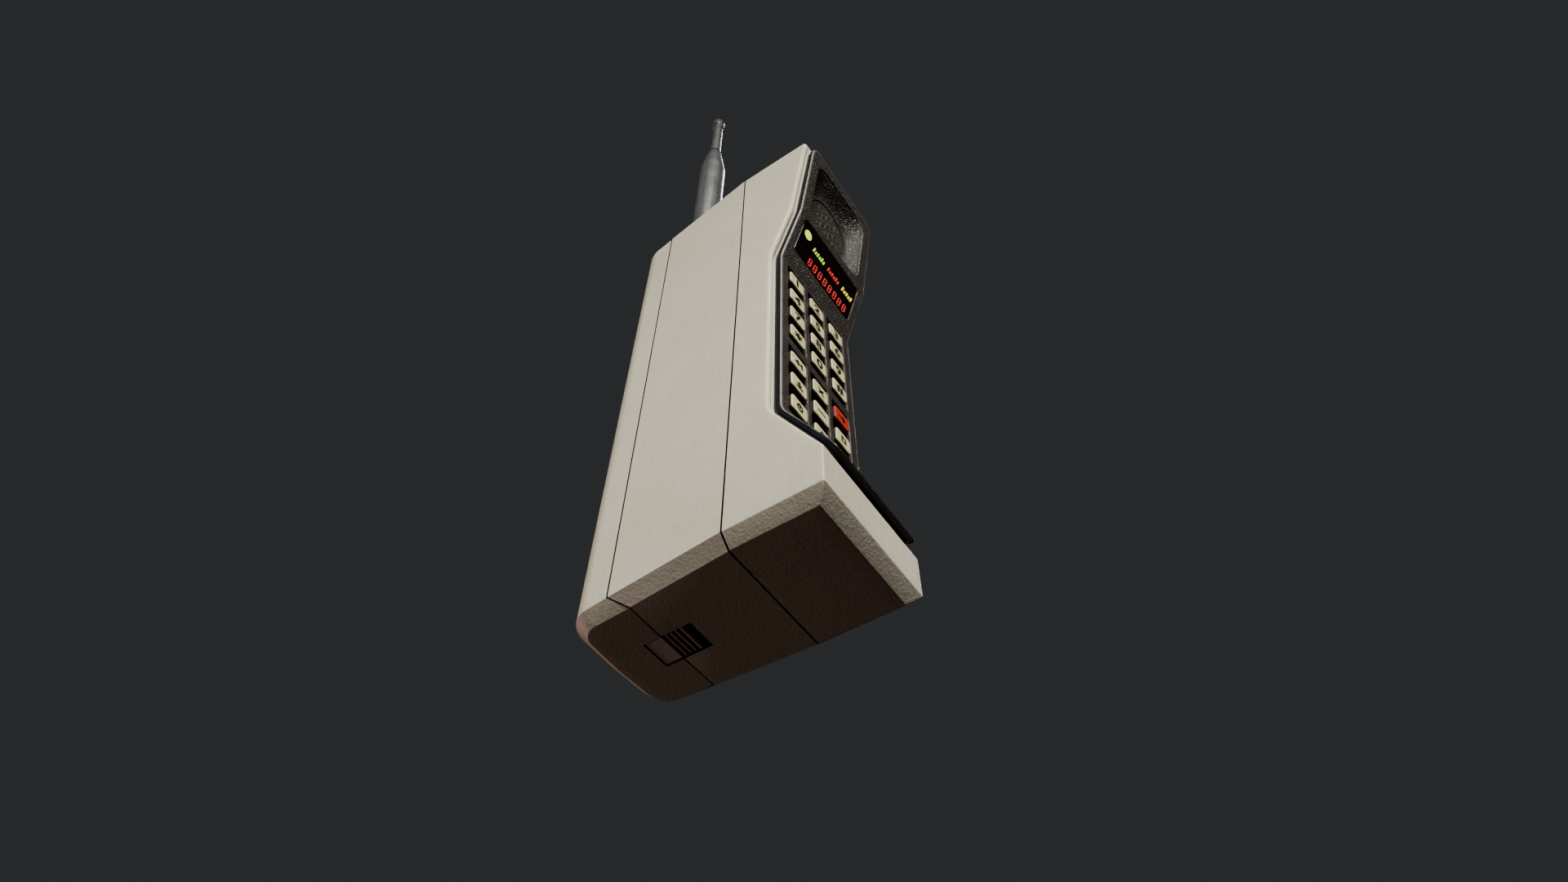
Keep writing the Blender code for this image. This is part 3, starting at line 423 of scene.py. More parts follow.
def circuitBoard():
    # green board: copper lines under the lacquer on a square grid, with small tinned pads where they cross
    finish = Finish("circuitBoard", Coat_Roughness=0.2, Coat_Weight=0.5)
    black, white = (0, 0, 0), (1, 1, 1)
    lanes = finish.node("ShaderNodeTexBrick", {
        "Vector": finish.at((1, 1, 1), (np.pi / 2, 0, 0)), "Scale": 180.0, "Mortar Size": 0.06,
        "Brick Width": 0.9, "Row Height": 0.35, "Color1": black, "Color2": black, "Mortar": white},
        offset=0.5)
    pads = finish.spread(finish.cells(0.0028, spot=finish.at()), 0.16, 0.1)
    weave = finish.noise(0.0009)
    ground = finish.mix(weave, (0.012, 0.085, 0.035), (0.02, 0.12, 0.05))
    traced = finish.mix(lanes * 0.7, ground, (0.05, 0.24, 0.10))
    tone = finish.mix(pads, traced, (0.55, 0.55, 0.50))
    return finish.set(tone, weave * 0.2 + 0.3, finish.bump(lanes + pads, 0.00003), Metallic=pads * 0.8)


def cellSleeve():
    # shrink sleeve of a battery cell: blue film with fine creases round it and a scuffed sheen
    finish = Finish("cellSleeve", Coat_Roughness=0.15, Coat_Weight=0.4)
    crease = finish.noise(0.0015, 3.0, 0.6, finish.at((1, 1, 0.25)))
    scuff = finish.spread(finish.noise(0.004, 5.0, 0.7), 0.5, 0.72)
    tone = finish.mix(scuff * 0.5, (0.02, 0.06, 0.20), (0.07, 0.12, 0.26))
    return finish.set(tone, scuff * 0.3 + 0.25, finish.bump(crease, 0.00004))


def keyInk():
    # printed legend: black ink, a little thin where fingers rub it
    finish = Finish("keyInk")
    thin = finish.spread(finish.noise(0.0005, 4.0, 0.7), 0.55, 0.8)
    tone = finish.mix(thin * 0.5, (0.006, 0.005, 0.0045), (0.035, 0.03, 0.02))
    return finish.set(tone, thin * 0.2 + 0.5)


faceGrain, lens, board, sleeve, ink = grainedFace(), displayLens(), circuitBoard(), cellSleeve(), keyInk()
litGreen = litLens("litGreen", (0.50, 1.0, 0.03), (0.36, 0.80, 0.02), 1.5)
litLime = litLens("litLime", (0.74, 1.0, 0.08), (0.62, 0.90, 0.06), 1.35)
litYellow = litLens("litYellow", (1.0, 0.82, 0.05), (0.85, 0.62, 0.03), 1.4)
litRed = litLens("litRed", (1.0, 0.03, 0.035), (0.62, 0.010, 0.012), 1.0)
# case plastic, and painted shade for the shells' rims in the seams and for the latch's recess
caseFinishes = [casePlastic, paintedShade]
print("telephone: finishes made")


caseSizes = {
    "halfWidth": 23.6, "backHalf": 20.6, "height": 209.0, "topFall": 0.142,
    "backCrown": 42.7, "backShoulder": 41.9, "backRadius": 9.0, "chamfer": 3.65, "edge": 0.55,
    "frontSeam": -10.7, "packSeam": 26.6, "packSeamBase": 21.4, "gap": 0.84,
    "wall": 1.9, "thin": 1.15,                      # walls of the battery case and of the front shell
    "lip": 1.22, "chinEdge": 0.5, "groove": 1.3,    # rounding beside the plate and under it, groove's depth
    "openingHalf": 18.1, "openingLow": 24.0, "openingHigh": 203.0,
    "recess": (5.1, 27.4, 2.4),                     # round the latch: half width, back, depth
}


def baseProfile(k, reach):
    # from the base outwards, over the chamfer and up the wall, as (inwards, height)
    corners = [(reach, 0), (k["chamfer"], 0), (0, k["chamfer"]), (0, 8.0)]
    return filletPath(corners, [0, 0.5, 0.7, 0], 5)


def makeFrontShell(k):
    # Rows go up the case and columns go round it from seam to seam. A row is a straight side, an arc of the
    # lip's radius in the plane of x and the front's outward direction, the groove beside the plate, the
    # straight front, and the same again.
    seam = (k["frontSeam"] - k["gap"] / 2) * mm
    ring = baseProfile(k, 8.0) * mm
    tall = k["height"]
    top = filletPath([(0, tall - 3.0), (0, tall), (8.0, tall)], [0, k["edge"], 0], 5) * mm
    # rows stand 1.2 mm apart near the base and 0.8 mm apart above, and end below the top edge
    climb = np.concatenate([np.arange(8.6, 14.5, 1.2), np.arange(14.6, tall - 3.2, 0.8)]) * mm
    inset = np.concatenate([ring[:, 0], climb * 0, top[:, 0]])[:, None]
    height = np.concatenate([ring[:, 1], climb, top[:, 1]])[:, None]
    y, z, outY, outZ = lineAt(np.concatenate([ring[:, 1], sAtHeight(climb), sAtHeight(top[:, 1])])[:, None])
    z = np.where(inset > 0, height, z)
    y = y + inset
    half = k["halfWidth"] * mm - inset
    # the lip grows from the chin's edge to its full radius, and the groove fades out at the plate's ends
    lip = np.interp(z / mm, [15.5, 17.5, 24], [k["chinEdge"], 0.8, k["lip"]]) * mm
    lip = np.maximum(lip - inset, 0.00002)
    curl = np.interp(z / mm, [17.6, 21, 204, 206.5], [0, 1, 1, 0])
    floor = -np.maximum(lip, k["groove"] * mm * (lip > 0.0005))
    turn = np.linspace(0, np.pi / 2, 9)
    over = np.linspace(0, np.pi / 2, 6)[1:]
    # round the corner, over inwards, and down a ledge to the groove's floor
    arcX = np.hstack([-(half - lip) - lip * np.cos(turn), -(half - lip) + lip * np.sin(over),
                      -(half - lip * 2) + np.minimum(lip, 0.0003) * np.array([0.0, 0.6, 1.0])])
    drop = np.hstack([-lip * (1 - np.sin(turn)), -lip * (1 - np.cos(over)) * curl,
                      floor * curl, floor * curl, 0 * floor])
    arcY, arcZ = y + outY * drop, z + outZ * drop
    share = np.linspace(0, 1, 6)[:-1]
    sideY = seam + (arcY[:, :1] - seam) * share
    sideX = arcX[:, :1] + 0 * share
    sideZ = arcZ[:, :1] + 0 * share
    inner = np.minimum(k["openingHalf"] * mm, (half - lip * 2) * 0.8)
    left = np.stack([np.hstack([sideX, arcX, -inner]), np.hstack([sideY, arcY, y]),
                     np.hstack([sideZ, arcZ, z])], -1)
    right = left[:, ::-1] * np.array([-1, 1, 1])
    grid = np.concatenate([left, right], 1)
    middle = np.array([0, seam, 0])
    shares = np.linspace(0, 1, 5)[:-1, None, None]
    low = grid[:1] * shares + middle * (1 - shares)
    high = grid[-1:] - middle
    high = middle + high * np.array([1, 1, 0]) * shares[::-1] + high * np.array([0, 0, 1])
    whole = np.concatenate([low, grid, high])
    arc = np.concatenate([np.zeros(5), np.sin(np.linspace(0, np.pi * 0.85, 14)), np.zeros(4)])
    edge = np.tile(np.concatenate([arc, arc[::-1]]), (len(whole), 1))
    columns = len(arc)
    kept = np.ones((whole.shape[0] - 1, whole.shape[1] - 1), bool)
    rowZ = whole[:, columns - 1, 2]
    inside = (rowZ[:-1] > k["openingLow"] * mm) & (rowZ[1:] < k["openingHigh"] * mm)
    kept[inside, columns - 1] = False
    mesh = Sheets().add(whole, edge=edge, keep=kept).mesh("frontShell", 35)
    piece = addPiece("frontShell", mesh, "housing", caseFinishes, ["front_housing"])
    thicken(piece, k["thin"] * mm)
    softenEdges(piece, 0.00012, 2, 60)


def halfWidthAt(k, y):
    share = (y - k["frontSeam"]) / (k["backShoulder"] - k["frontSeam"])
    return k["halfWidth"] - (k["halfWidth"] - k["backHalf"]) * share


def makeBatteryShell(k):
    # Columns go round the plan from the left seam over the back to the right seam. Rows go from the latch's
    # recess out over the base, up the chamfer and the wall, over the top edge and in to the seam's middle.
    seam, low = k["packSeam"] + k["gap"] / 2, k["packSeamBase"] + k["gap"] / 2
    start = halfWidthAt(k, seam)
    plan = filletPath([(-start, seam), (-k["backHalf"], k["backShoulder"]), (0, k["backCrown"]),
                       (k["backHalf"], k["backShoulder"]), (start, seam)],
                      [0, k["backRadius"], 60.0, k["backRadius"], 0], 14)
    run = lengthAlong(plan)
    spots = np.unique(np.concatenate([np.linspace(0, run[-1], 61), run]))
    plan = np.stack([np.interp(spots, run, plan[:, 0]), np.interp(spots, run, plan[:, 1])], 1)
    way = unit(np.gradient(plan, spots, axis=0))
    out = np.stack([-way[:, 1], way[:, 0]], 1)
    count = len(plan)
    level = 34.0    # in front of this the base's edge follows the seam's step
    ease = np.clip((level - plan[:, 1]) / (level - seam), 0, 1)

    def row(inset, z):
        points = plan - out * inset
        stepped = points[:, 1] - (seam - low) * ease * max(0.0, 1 - z / k["chamfer"])
        slide = np.where(np.arange(count) % (count - 1) == 0, stepped, np.maximum(stepped, low))
        return np.stack([points[:, 0], slide, np.full(count, z)], 1)

    def topRow(inset, drop):
        points = plan - out * inset
        y = np.maximum(points[:, 1], seam)
        return np.stack([points[:, 0], y, k["height"] - k["topFall"] * (y - k["frontSeam"]) - drop], 1)

    half, back, deep = k["recess"]
    across = int(count * 0.3)
    wellSide = np.linspace(low, back, across)
    wellBack = np.linspace(-half, half, count - 2 * across + 2)[1:-1]
    wellX = np.concatenate([np.full(across, -half), wellBack, np.full(across, half)])
    wellY = np.concatenate([wellSide, np.full(len(wellBack), back), wellSide[::-1]])
    flat = np.stack([wellX, wellY, np.zeros(count)], 1)
    ring = baseProfile(k, 9.0)[1:]
    rim = quarterRound(k["edge"], 5)[::-1]
    base = [row(inset, z) for inset, z in ring]
    shares = np.linspace(0, 1, 5)[1:-1, None, None]
    spread = flat + (base[0] - flat) * shares
    wellFloor = flat + np.array([0, 0, deep])
    floorMiddle = np.array([0, low, deep])
    cap = floorMiddle + (wellFloor - floorMiddle) * np.linspace(0, 1, 4)[:-1, None, None]
    wall = base[-1] + (topRow(0, k["edge"]) - base[-1]) * np.linspace(0, 1, 40)[1:-1, None, None]
    tops = [topRow(inset, drop) for inset, drop in rim]
    topMiddle = np.array([0, seam, k["height"] - k["topFall"] * (seam - k["frontSeam"])])
    close = topMiddle + (tops[-1] - topMiddle) * np.linspace(1, 0, 6)[1:, None, None]
    parts = [cap, wellFloor[None], flat[None], spread, np.array(base), wall, np.array(tops), close]
    whole = np.concatenate(parts) * mm
    edge = np.zeros(len(whole))
    firstBase = len(cap) + 2 + len(spread)
    edge[firstBase:firstBase + len(base) - 1] = 0.6
    firstTop = firstBase + len(base) + len(wall)
    edge[firstTop:firstTop + len(tops)] = 1.0
    inner = len(cap) + 2
    # the latch's recess inside the base takes the second finish, painted shade
    sheets = Sheets().add(whole[:inner], edge=edge[:inner], slot=1)
    mesh = sheets.add(whole[inner - 1:], edge=edge[inner - 1:]).mesh("batteryShell", 35)
    piece = addPiece("batteryShell", mesh, "battery_pack", caseFinishes, ["battery_case"])
    thicken(piece, k["wall"] * mm)
    softenEdges(piece, 0.00012, 2, 60)


def makeRearShell(k):
    # a merged copy of the flat-sided part, its edges rounded, with painted shade in the seam and in the
    # latch's recess
    mesh = bpy.data.objects["rear_housing"].data.copy()
    mesh.materials.clear()
    shape = bmesh.new()
    shape.from_mesh(mesh)
    bmesh.ops.remove_doubles(shape, verts=shape.verts, dist=1e-6)
    bmesh.ops.dissolve_limit(shape, angle_limit=np.radians(1), verts=shape.verts, edges=shape.edges)
    shape.to_mesh(mesh)
    shape.free()
    mesh.shade_smooth()
    mesh.set_sharp_from_angle(angle=np.radians(30))
    centre, normal = np.zeros((2, len(mesh.polygons), 3))
    mesh.polygons.foreach_get("center", centre.ravel())
    mesh.polygons.foreach_get("normal", normal.ravel())
    x, y, z = centre.T / mm
    seam = (y < k["frontSeam"] + 0.5) & (normal[:, 1] < -0.9)
    recess = (abs(x) < k["recess"][0] + 0.1) & (y > 11) & (z > 0.1) & (z < 4.5)
    mesh.polygons.foreach_set("material_index", (seam | recess).astype(np.int32))
    piece = addPiece("rearShell", mesh, "housing", caseFinishes, ["rear_housing"])
    softenEdges(piece, 0.0002, 3, 30)


makeFrontShell(caseSizes)
makeBatteryShell(caseSizes)
makeRearShell(caseSizes)
print("telephone: case made")


plateSizes = {
    "width": 42.2, "low": 19.25, "high": 206.8, "corner": 4.0, "face": 2.8, "back": 1.2,
    "edge": 0.45, "inner": 0.3, "innerWear": 0.15, "highlightFrom": 34.0, "step": 1.25, "blockHalf": 18.15,
    "keypadLow": 47.0, "between": 85.85, "slopeStart": 137.6, "browStart": 161.3,
    "wellWidth": 10.0, "wellCorner": 0.8, "pitch": 12.1,
    "dialWell": (87.75, 133.05), "functionWell": (49.85, 83.95),    # from and to which height
    # openings as their middle's height, then width, length and corner
    "window": (150.2, 35.2, 17.8, 1.5), "scoop": (182.0, 32.0, 38.0, 6.0),
    "scoopDepth": 5.0, "disc": 11.5, "voice": (30.5, 2.8, 0.6),     # voice holes: height, pitch, radius
}


def makeFacePlate(k):
    # The plate is cells on the plane of (across, along the front line). A cell is a profile carried round its
    # opening: rings slide from the cell's border to the opening's rounded outline, turn over its edge, go
    # through the plate and come back under it. Every ring is then laid on the front line at its own height.
    face, back = k["face"], k["back"]
    sheets = Sheets()

    def sOf(z, away=face):
        return float(sAtHeight(z * mm, away * mm)) / mm

    def lay(loop, away):
        return onFace(loop[:, 0] * mm, loop[:, 1] * mm, away * mm)

    def slide(start, end, shares, away):
        return [lay(start + (end - start) * share, away) for share in shares]

    def cell(xs, ss, centre, size, edge=k["inner"], arcSteps=3, rings=5, deep=None):
        width, height, radius = size
        border = plainLoop(xs, ss)

        def hole(grow):
            sides = width + 2 * grow, height + 2 * grow
            return roundedLoop(*sides, radius + grow, len(xs) - 1, len(ss) - 1, arcSteps) + centre

        flat = slide(border, hole(edge), np.linspace(0, 1, rings + 1)[:-1], face)
        rim = [lay(hole(inset), face - drop) for inset, drop in quarterRound(edge, 4)]
        under = deep(hole(0), border) if deep else slide(hole(0), border, (0, 0.5, 1), back)
        worn = np.sin(np.linspace(0, np.pi, len(rim))) * k["innerWear"]
        worn = np.concatenate([np.zeros(len(flat)), worn, np.zeros(len(under))])
        sheets.add(np.array(flat + rim + under), wrap=True, edge=worn)

    def lines(low, high):
        return np.linspace(low, high, max(8, int(round((high - low) / k["step"]))) + 1)

    xs3 = np.linspace(-k["blockHalf"], k["blockHalf"], 28)
    split = [xs3[:10], xs3[9:19], xs3[18:]]
    marks = [sOf(k["low"]) + 3.2, sOf(k["keypadLow"]), sOf(k["between"]), sOf(k["slopeStart"]),
             sOf(k["browStart"]), sOf(k["high"]) - 3.0]
    bands = [lines(a, b) for a, b in zip(marks, marks[1:])]

    # wells of the function keys and of the dial keys
    for band, (low, high) in ((bands[1], k["functionWell"]), (bands[2], k["dialWell"])):
        s0, s1 = sOf(low), sOf(high)
        for column, xs in enumerate(split):
            centre = np.array([(column - 1) * k["pitch"], (s0 + s1) / 2])
            cell(xs, band, centre, (k["wellWidth"], s1 - s0, k["wellCorner"]))

    z, *size = k["window"]
    cell(xs3, bands[3], np.array([0, sOf(z)]), size, edge=0.2)

    z, *size = k["scoop"]
    middle = np.array([0, sOf(z)])

    def bowl(rim, border):
        # from the rounded rectangle down to the disc's circle, through the plate, and back up outside it
        away = rim - middle
        angle = np.arctan2(away[:, 1], away[:, 0])
        circle = middle + k["disc"] * np.stack([np.cos(angle), np.sin(angle)], 1)
        rows = []
        for t in np.linspace(0.06, 1, 15):
            fall = np.sin(t * np.pi / 2) ** 1.15
            share = 1 - (1 - t) ** 0.92
            deep = k["inner"] + (k["scoopDepth"] - k["inner"]) * fall
            rows.append(lay(rim + (circle - rim) * share, face - deep))
        outside = circle + (circle - middle) / k["disc"] * 0.05
        rows.append(lay(outside, face - k["scoopDepth"] - 1.4))
        wide = middle + away * 1.06
        for t in np.linspace(0.2, 1, 5):
            fall = np.cos(t * np.pi / 2)
            rows.append(lay(outside + (wide - outside) * t, back - 0.3 - (k["scoopDepth"] - 0.2) * fall))
        rows.append(lay(border, back))
        return rows

    cell(xs3, bands[4], middle, size, edge=0.5, arcSteps=5, rings=3, deep=bowl)

    # chin: a plain ring round a block of three cells, each with a round hole
    z, pitch, holeRadius = k["voice"]
    centre = sOf(z)
    small = np.linspace(centre - pitch / 2, centre + pitch / 2, len(bands[0]))
    innerXs = np.linspace(-1.5 * pitch, 1.5 * pitch, 28)
    for away in (face, back):
        rows = slide(plainLoop(xs3, bands[0]), plainLoop(innerXs, small), np.linspace(0, 1, 9), away)
        sheets.add(np.array(rows), wrap=True)
    for column in range(3):
        xs = innerXs[column * 9:column * 9 + 10]
        spot = np.array([(column - 1) * pitch, centre])
        cell(xs, small, spot, (2 * holeRadius, 2 * holeRadius, holeRadius), edge=0.15, rings=2)

    # border: from the block of cells out to the rounded outline, over its edge and back underneath
    ss = np.concatenate([band[:-1] for band in bands] + [bands[-1][-1:]])
    block = plainLoop(xs3, ss)

    def outline(grow, away):
        s0, s1 = sOf(k["low"], away), sOf(k["high"], away)
        width, length = k["width"] - 2 * grow, s1 - s0 - 2 * grow
        loop = roundedLoop(width, length, k["corner"] - grow, len(xs3) - 1, len(ss) - 1, 6)
        return loop + np.array([0, (s0 + s1) / 2])

    flat = slide(block, outline(k["edge"], face), (0, 0.33, 0.66, 1), face)
    over = [lay(outline(inset, face - drop), face - drop) for inset, drop in quarterRound(k["edge"], 5)[1:]]
    # the outer edge is made pale, partly wear and partly a painted highlight, except low down where the plate
    # runs over the chin and its rim turns from the light
    rise = np.clip((over[0][:, 2] / mm - k["highlightFrom"]) / 10, 0, 1)
    rubbed = np.array([0, 0, 0, 0.2, 1, 1, 1, 0.7, 0.1])[:, None] * rise
    sheets.add(np.array(flat + over), wrap=True, edge=rubbed)
    # the plate's side takes the second finish, painted shade
    side = [over[-1], lay(outline(0, back), back), lay(block, back)]
    sheets.add(np.array(side), wrap=True, slot=1)
    mesh = sheets.mesh("facePlate", 32)
    addPiece("facePlate", mesh, "housing", [faceGrain, plateSideShade], ["face_plate"])


makeFacePlate(plateSizes)
print("telephone: face plate made")


def placeOn(points, z, away):
    # points in millimetres as (across, up, out), laid on the face at a height
    s = float(sAtHeight(z * mm, away * mm))
    y, height, outY, outZ = (float(v) for v in lineAt(s))
    points = np.asarray(points) * mm
    across, up, out = points[..., 0], points[..., 1], points[..., 2] + away * mm
    # up runs along the face: the outward direction turned back by a quarter
    upY, upZ = outZ, -outY
    return np.stack([across, y + up * upY + out * outY, height + up * upZ + out * outZ], -1)


def padGrid(k, edge, across, up, arcSteps, dish, dome):
    # A rounded rectangle carried through (inset, height): its dished face grows from a point, the edge turns
    # over by a quarter round, and the wall and the back close it
    def ring(inset, height, share=1):
        width, length = k["width"] - 2 * inset, k["height"] - 2 * inset
        loop = roundedLoop(width, length, k["corner"] - inset, across, up, arcSteps)
        return np.column_stack([loop * share, np.full(len(loop), height)])

    rings = [ring(edge, -dish * (1 - share ** 2), share) for share in np.linspace(0, 1, dome + 1)[:-1]]
    rings += [ring(inset, -drop) for inset, drop in quarterRound(edge, 4)]
    rings += [ring(0, -k["thick"], share) for share in (1, 0.5, 0)]
    worn = np.concatenate([np.zeros(dome), np.sin(np.linspace(0, np.pi, 5)) * 0.8 + 0.2, np.zeros(3)])
    return np.array(rings), worn


# profiles as (radius, height) from the disc's face
grilleSizes = {
    "z": 182.0, "face": 2.8, "deep": 5.15, "pitch": 5.5, "steps": 24,
    "rim": [(1.45, -0.02), (1.3, 0.1), (1.17, 0.16), (1.04, 0.12), (0.96, 0.02)],
    "rimWearAndHighlight": [0, 0.15, 0.5, 0.3, 0],
    "cup": [(0.96, 0.02), (0.76, 0.0), (0.76, -0.9), (0, -0.9)],
}


def makeGrilleRims(k):
    # A raised lip round each sound hole, made pale by wear and a painted highlight, and inside it a cup of
    # painted shade, both turned profiles. Nine holes lie in a square, with four more between them.
    ends, halves = (-1, 0, 1), (-0.5, 0.5)
    places = [(x, up) for x in ends for up in ends] + [(x, up) for x in halves for up in halves]
    sheets = Sheets()
    for x, up in places:
        centre = (x * k["pitch"], up * k["pitch"], -k["deep"])
        rim, cup = (turned(profile, k["steps"], centre) for profile in (k["rim"], k["cup"]))
        sheets.add(placeOn(rim, k["z"], k["face"]), wrap=True, edge=k["rimWearAndHighlight"])
        # inside each hole a cup of painted shade
        sheets.add(placeOn(cup, k["z"], k["face"]), wrap=True, slot=1)
    mesh = sheets.mesh("grilleRims", 50, outward=False)
    addPiece("grilleRims", mesh, "housing", [faceGrain, paintedShade])


makeGrilleRims(grilleSizes)


displaySizes = {
    "z": 150.2, "width": 34.6, "height": 17.2, "corner": 1.2, "face": 2.65, "thick": 1.2, "edge": 0.25,
    "lamp": (-13.6, 3.8, 0), "lampSteps": 48,
    "lampDome": [(0, 0.10), (1.0, 0.09), (1.6, 0.06), (1.9, 0.03), (2.0, 0.0), (0, 0)],
    # status bars: from, to, how many blocks, finish
    "bars": {"litGreenBar": (-9.3, -1.9, 6, litGreen), "litRedBar": (0.0, 7.6, 6, litRed),
             "litYellowBar": (9.5, 16.3, 5, litYellow)},
    "blockHeights": [1.0, 0.68, 0.84, 0.68, 1.0, 0.76], "blockGap": 0.5,
    "barUp": 1.3, "barHeight": 2.2, "barLean": 0.25,
    "digits": 8, "firstDigit": -8.4, "lastDigit": 13.7, "digitUp": -5.75, "digit": (1.85, 3.5),
    "digitLean": 0.08, "stroke": 0.36, "proud": 0.04,
}


def flatBlocks(centres, widths, heights, lean, thick):
    # many small slanted blocks at once: eight corners each, as arrays
    sign = np.array([[-1, -1], [1, -1], [1, 1], [-1, 1]]) / 2
    corner = sign[None] * np.stack([widths, heights], 1)[:, None]
    corner[..., 0] += corner[..., 1] * lean
    flat = corner + centres[:, None]
    low = np.concatenate([flat, np.zeros(flat.shape[:2] + (1,))], -1)
    high = np.concatenate([flat, np.full(flat.shape[:2] + (1,), thick)], -1)
    points = np.concatenate([low, high], 1).reshape(-1, 3)
    box = np.array([[3, 2, 1, 0], [4, 5, 6, 7], [0, 1, 5, 4], [1, 2, 6, 5], [2, 3, 7, 6], [3, 0, 4, 7]])
    faces = (box[None] + 8 * np.arange(len(flat))[:, None, None]).reshape(-1, 4)
    return points, faces


def meshFrom(name, points, faces):
    mesh = bpy.data.meshes.new(name)
    mesh.from_pydata(points, [], faces)
    return mesh


def makeDisplay(k):
    grid, worn = padGrid(k, k["edge"], 20, 12, 3, 0, 3)

    def place(points):
        return placeOn(points, k["z"], k["face"])

    mesh = Sheets().add(place(grid), wrap=True, edge=worn).mesh("displayLens")
    addPiece("displayLens", mesh, "housing", [lens], ["display_window"])

    # lamp: a low dome, seen through the lens
    lamp = turned(k["lampDome"], k["lampSteps"], k["lamp"])
    addPiece("lampGlow", Sheets().add(place(lamp), wrap=True).mesh("lampGlow"), "housing", [litLime])

    # status bars, each a row of small lit blocks that stand on one line
    for name, (left, right, count, finish) in k["bars"].items():
        edges = np.linspace(left, right, count + 1)
        widths = np.full(count, (right - left) / count - k["blockGap"])
        heights = np.array(k["blockHeights"][:count]) * k["barHeight"]
        centres = np.stack([(edges[1:] + edges[:-1]) / 2, k["barUp"] - (k["barHeight"] - heights) / 2], 1)
        points, faces = flatBlocks(centres, widths, heights, k["barLean"], k["proud"])
        addPiece(name, meshFrom(name, place(points), faces), "housing", [finish])

    # digits of seven strokes each: three across, then four upright
    (wide, tall), stroke, lean, count = k["digit"], k["stroke"], k["digitLean"], k["digits"]
    a, b = wide / 2 - stroke / 2, tall / 2 - stroke / 2
    spots = np.array([(0, b), (0, 0), (0, -b), (-a, b / 2), (a, b / 2), (-a, -b / 2), (a, -b / 2)])
    spots[:, 0] += spots[:, 1] * lean
    widths = np.array([wide - 1.35 * stroke] * 3 + [stroke] * 4)
    heights = np.array([stroke] * 3 + [tall / 2 - stroke] * 4)
    middles = np.stack([np.linspace(k["firstDigit"], k["lastDigit"], count), np.full(count, k["digitUp"])], 1)
    centres = (middles[:, None] + spots).reshape(-1, 2)
    points, faces = flatBlocks(centres, np.tile(widths, count), np.tile(heights, count), lean, k["proud"])
    addPiece("litDigits", meshFrom("litDigits", place(points), faces), "housing", [litRed])


makeDisplay(displaySizes)
print("telephone: display made")


keySizes = {
    "width": 8.1, "height": 6.3, "corner": 1.2, "thick": 3.0, "edge": 0.4, "dish": 0.04, "capRings": 11,
    "digit": 5.8725, "star": 7.83, "digitStretch": 1.12, "bolder": 0.2, "ink": 0.045, "stroke": 0.75,
}
keySigns = {f"key_{n}": str(n) for n in range(1, 10)} | {"key_star": "*", "key_0": "0", "key_hash": "#"}
# pictograms as strokes: points in millimetres from the key's middle, and the strokes' width
ring = [(1.25 * np.sin(a), 1.25 * np.cos(a)) for a in np.linspace(0.6, 2 * np.pi - 0.6, 17)]
keyStrokes = {
    "key_recall": [[(1.5, -1.1), (1.5, 1.1)], [(-1.5, 0), (0.9, 0)], [(-0.6, 0.9), (-1.5, 0), (-0.6, -0.9)]],
    "key_clear": [[(-1.1, -1.1), (1.1, 1.1)], [(-1.1, 1.1), (1.1, -1.1)]],
    "key_send": [[(-1.6, 0), (1.5, 0)], [(0.5, 1.0), (1.5, 0), (0.5, -1.0)]],
    "key_store": [[(-1.5, -1.3), (1.5, -1.3)], [(0, 1.4), (0, -0.6)], [(-0.8, 0.2), (0, -0.6), (0.8, 0.2)]],
    "key_function": [[(-1.7, 0), (-1.2, 0)], [(-0.25, 0), (0.25, 0)], [(1.2, 0), (1.7, 0)]],
    "key_end": [[(-1.0, -1.0), (1.0, -1.0), (1.0, 1.0), (-1.0, 1.0), (-1.0, -1.0)]],
    "key_power": [ring, [(0, 1.6), (0, 0.1)]],
    "key_lock": [[(-1.2, -1.3), (1.2, -1.3), (1.2, 0.2), (-1.2, 0.2), (-1.2, -1.3)],
                 [(-0.7, 0.2), (-0.7, 1.2), (0.7, 1.2), (0.7, 0.2)]],
    "key_volume": [[(-1.5, -1.2), (-1.5, -0.5)], [(-0.5, -1.2), (-0.5, 0.1)], [(0.5, -1.2), (0.5, 0.7)],
                   [(1.5, -1.2), (1.5, 1.3)]],
}


def strokeSheet(sheets, points, width, thick, place):
    # a stroke: a flat bar carried along a path, its corners mitred
    path = np.array(points, float)
    closed = np.allclose(path[0], path[-1])
    ahead = unit(np.diff(path, axis=0))
    before = np.vstack([ahead[-1:] if closed else ahead[:1], ahead])
    after = np.vstack([ahead, ahead[:1] if closed else ahead[-1:]])
    way = unit(before + after)
    side = np.stack([-way[:, 1], way[:, 0]], 1) / np.maximum((way * after).sum(1), 0.5)[:, None]
    if not closed:
        path[0] -= ahead[0] * width / 2
        path[-1] += ahead[-1] * width / 2
    left, right = path + side * width / 2, path - side * width / 2
    low, high = np.zeros((len(path), 1)), np.full((len(path), 1), thick)
    corners = ((left, low), (left, high), (right, high), (right, low))
    grid = place(np.stack([np.hstack(corner) for corner in corners], 1))
    sheets.add(grid, wrap=True)
    if not closed:
        for end, flip in ((grid[0], False), (grid[-1], True)):
            sheets.add(np.stack([end[[0, 3]], end[[1, 2]]]), flip=flip)


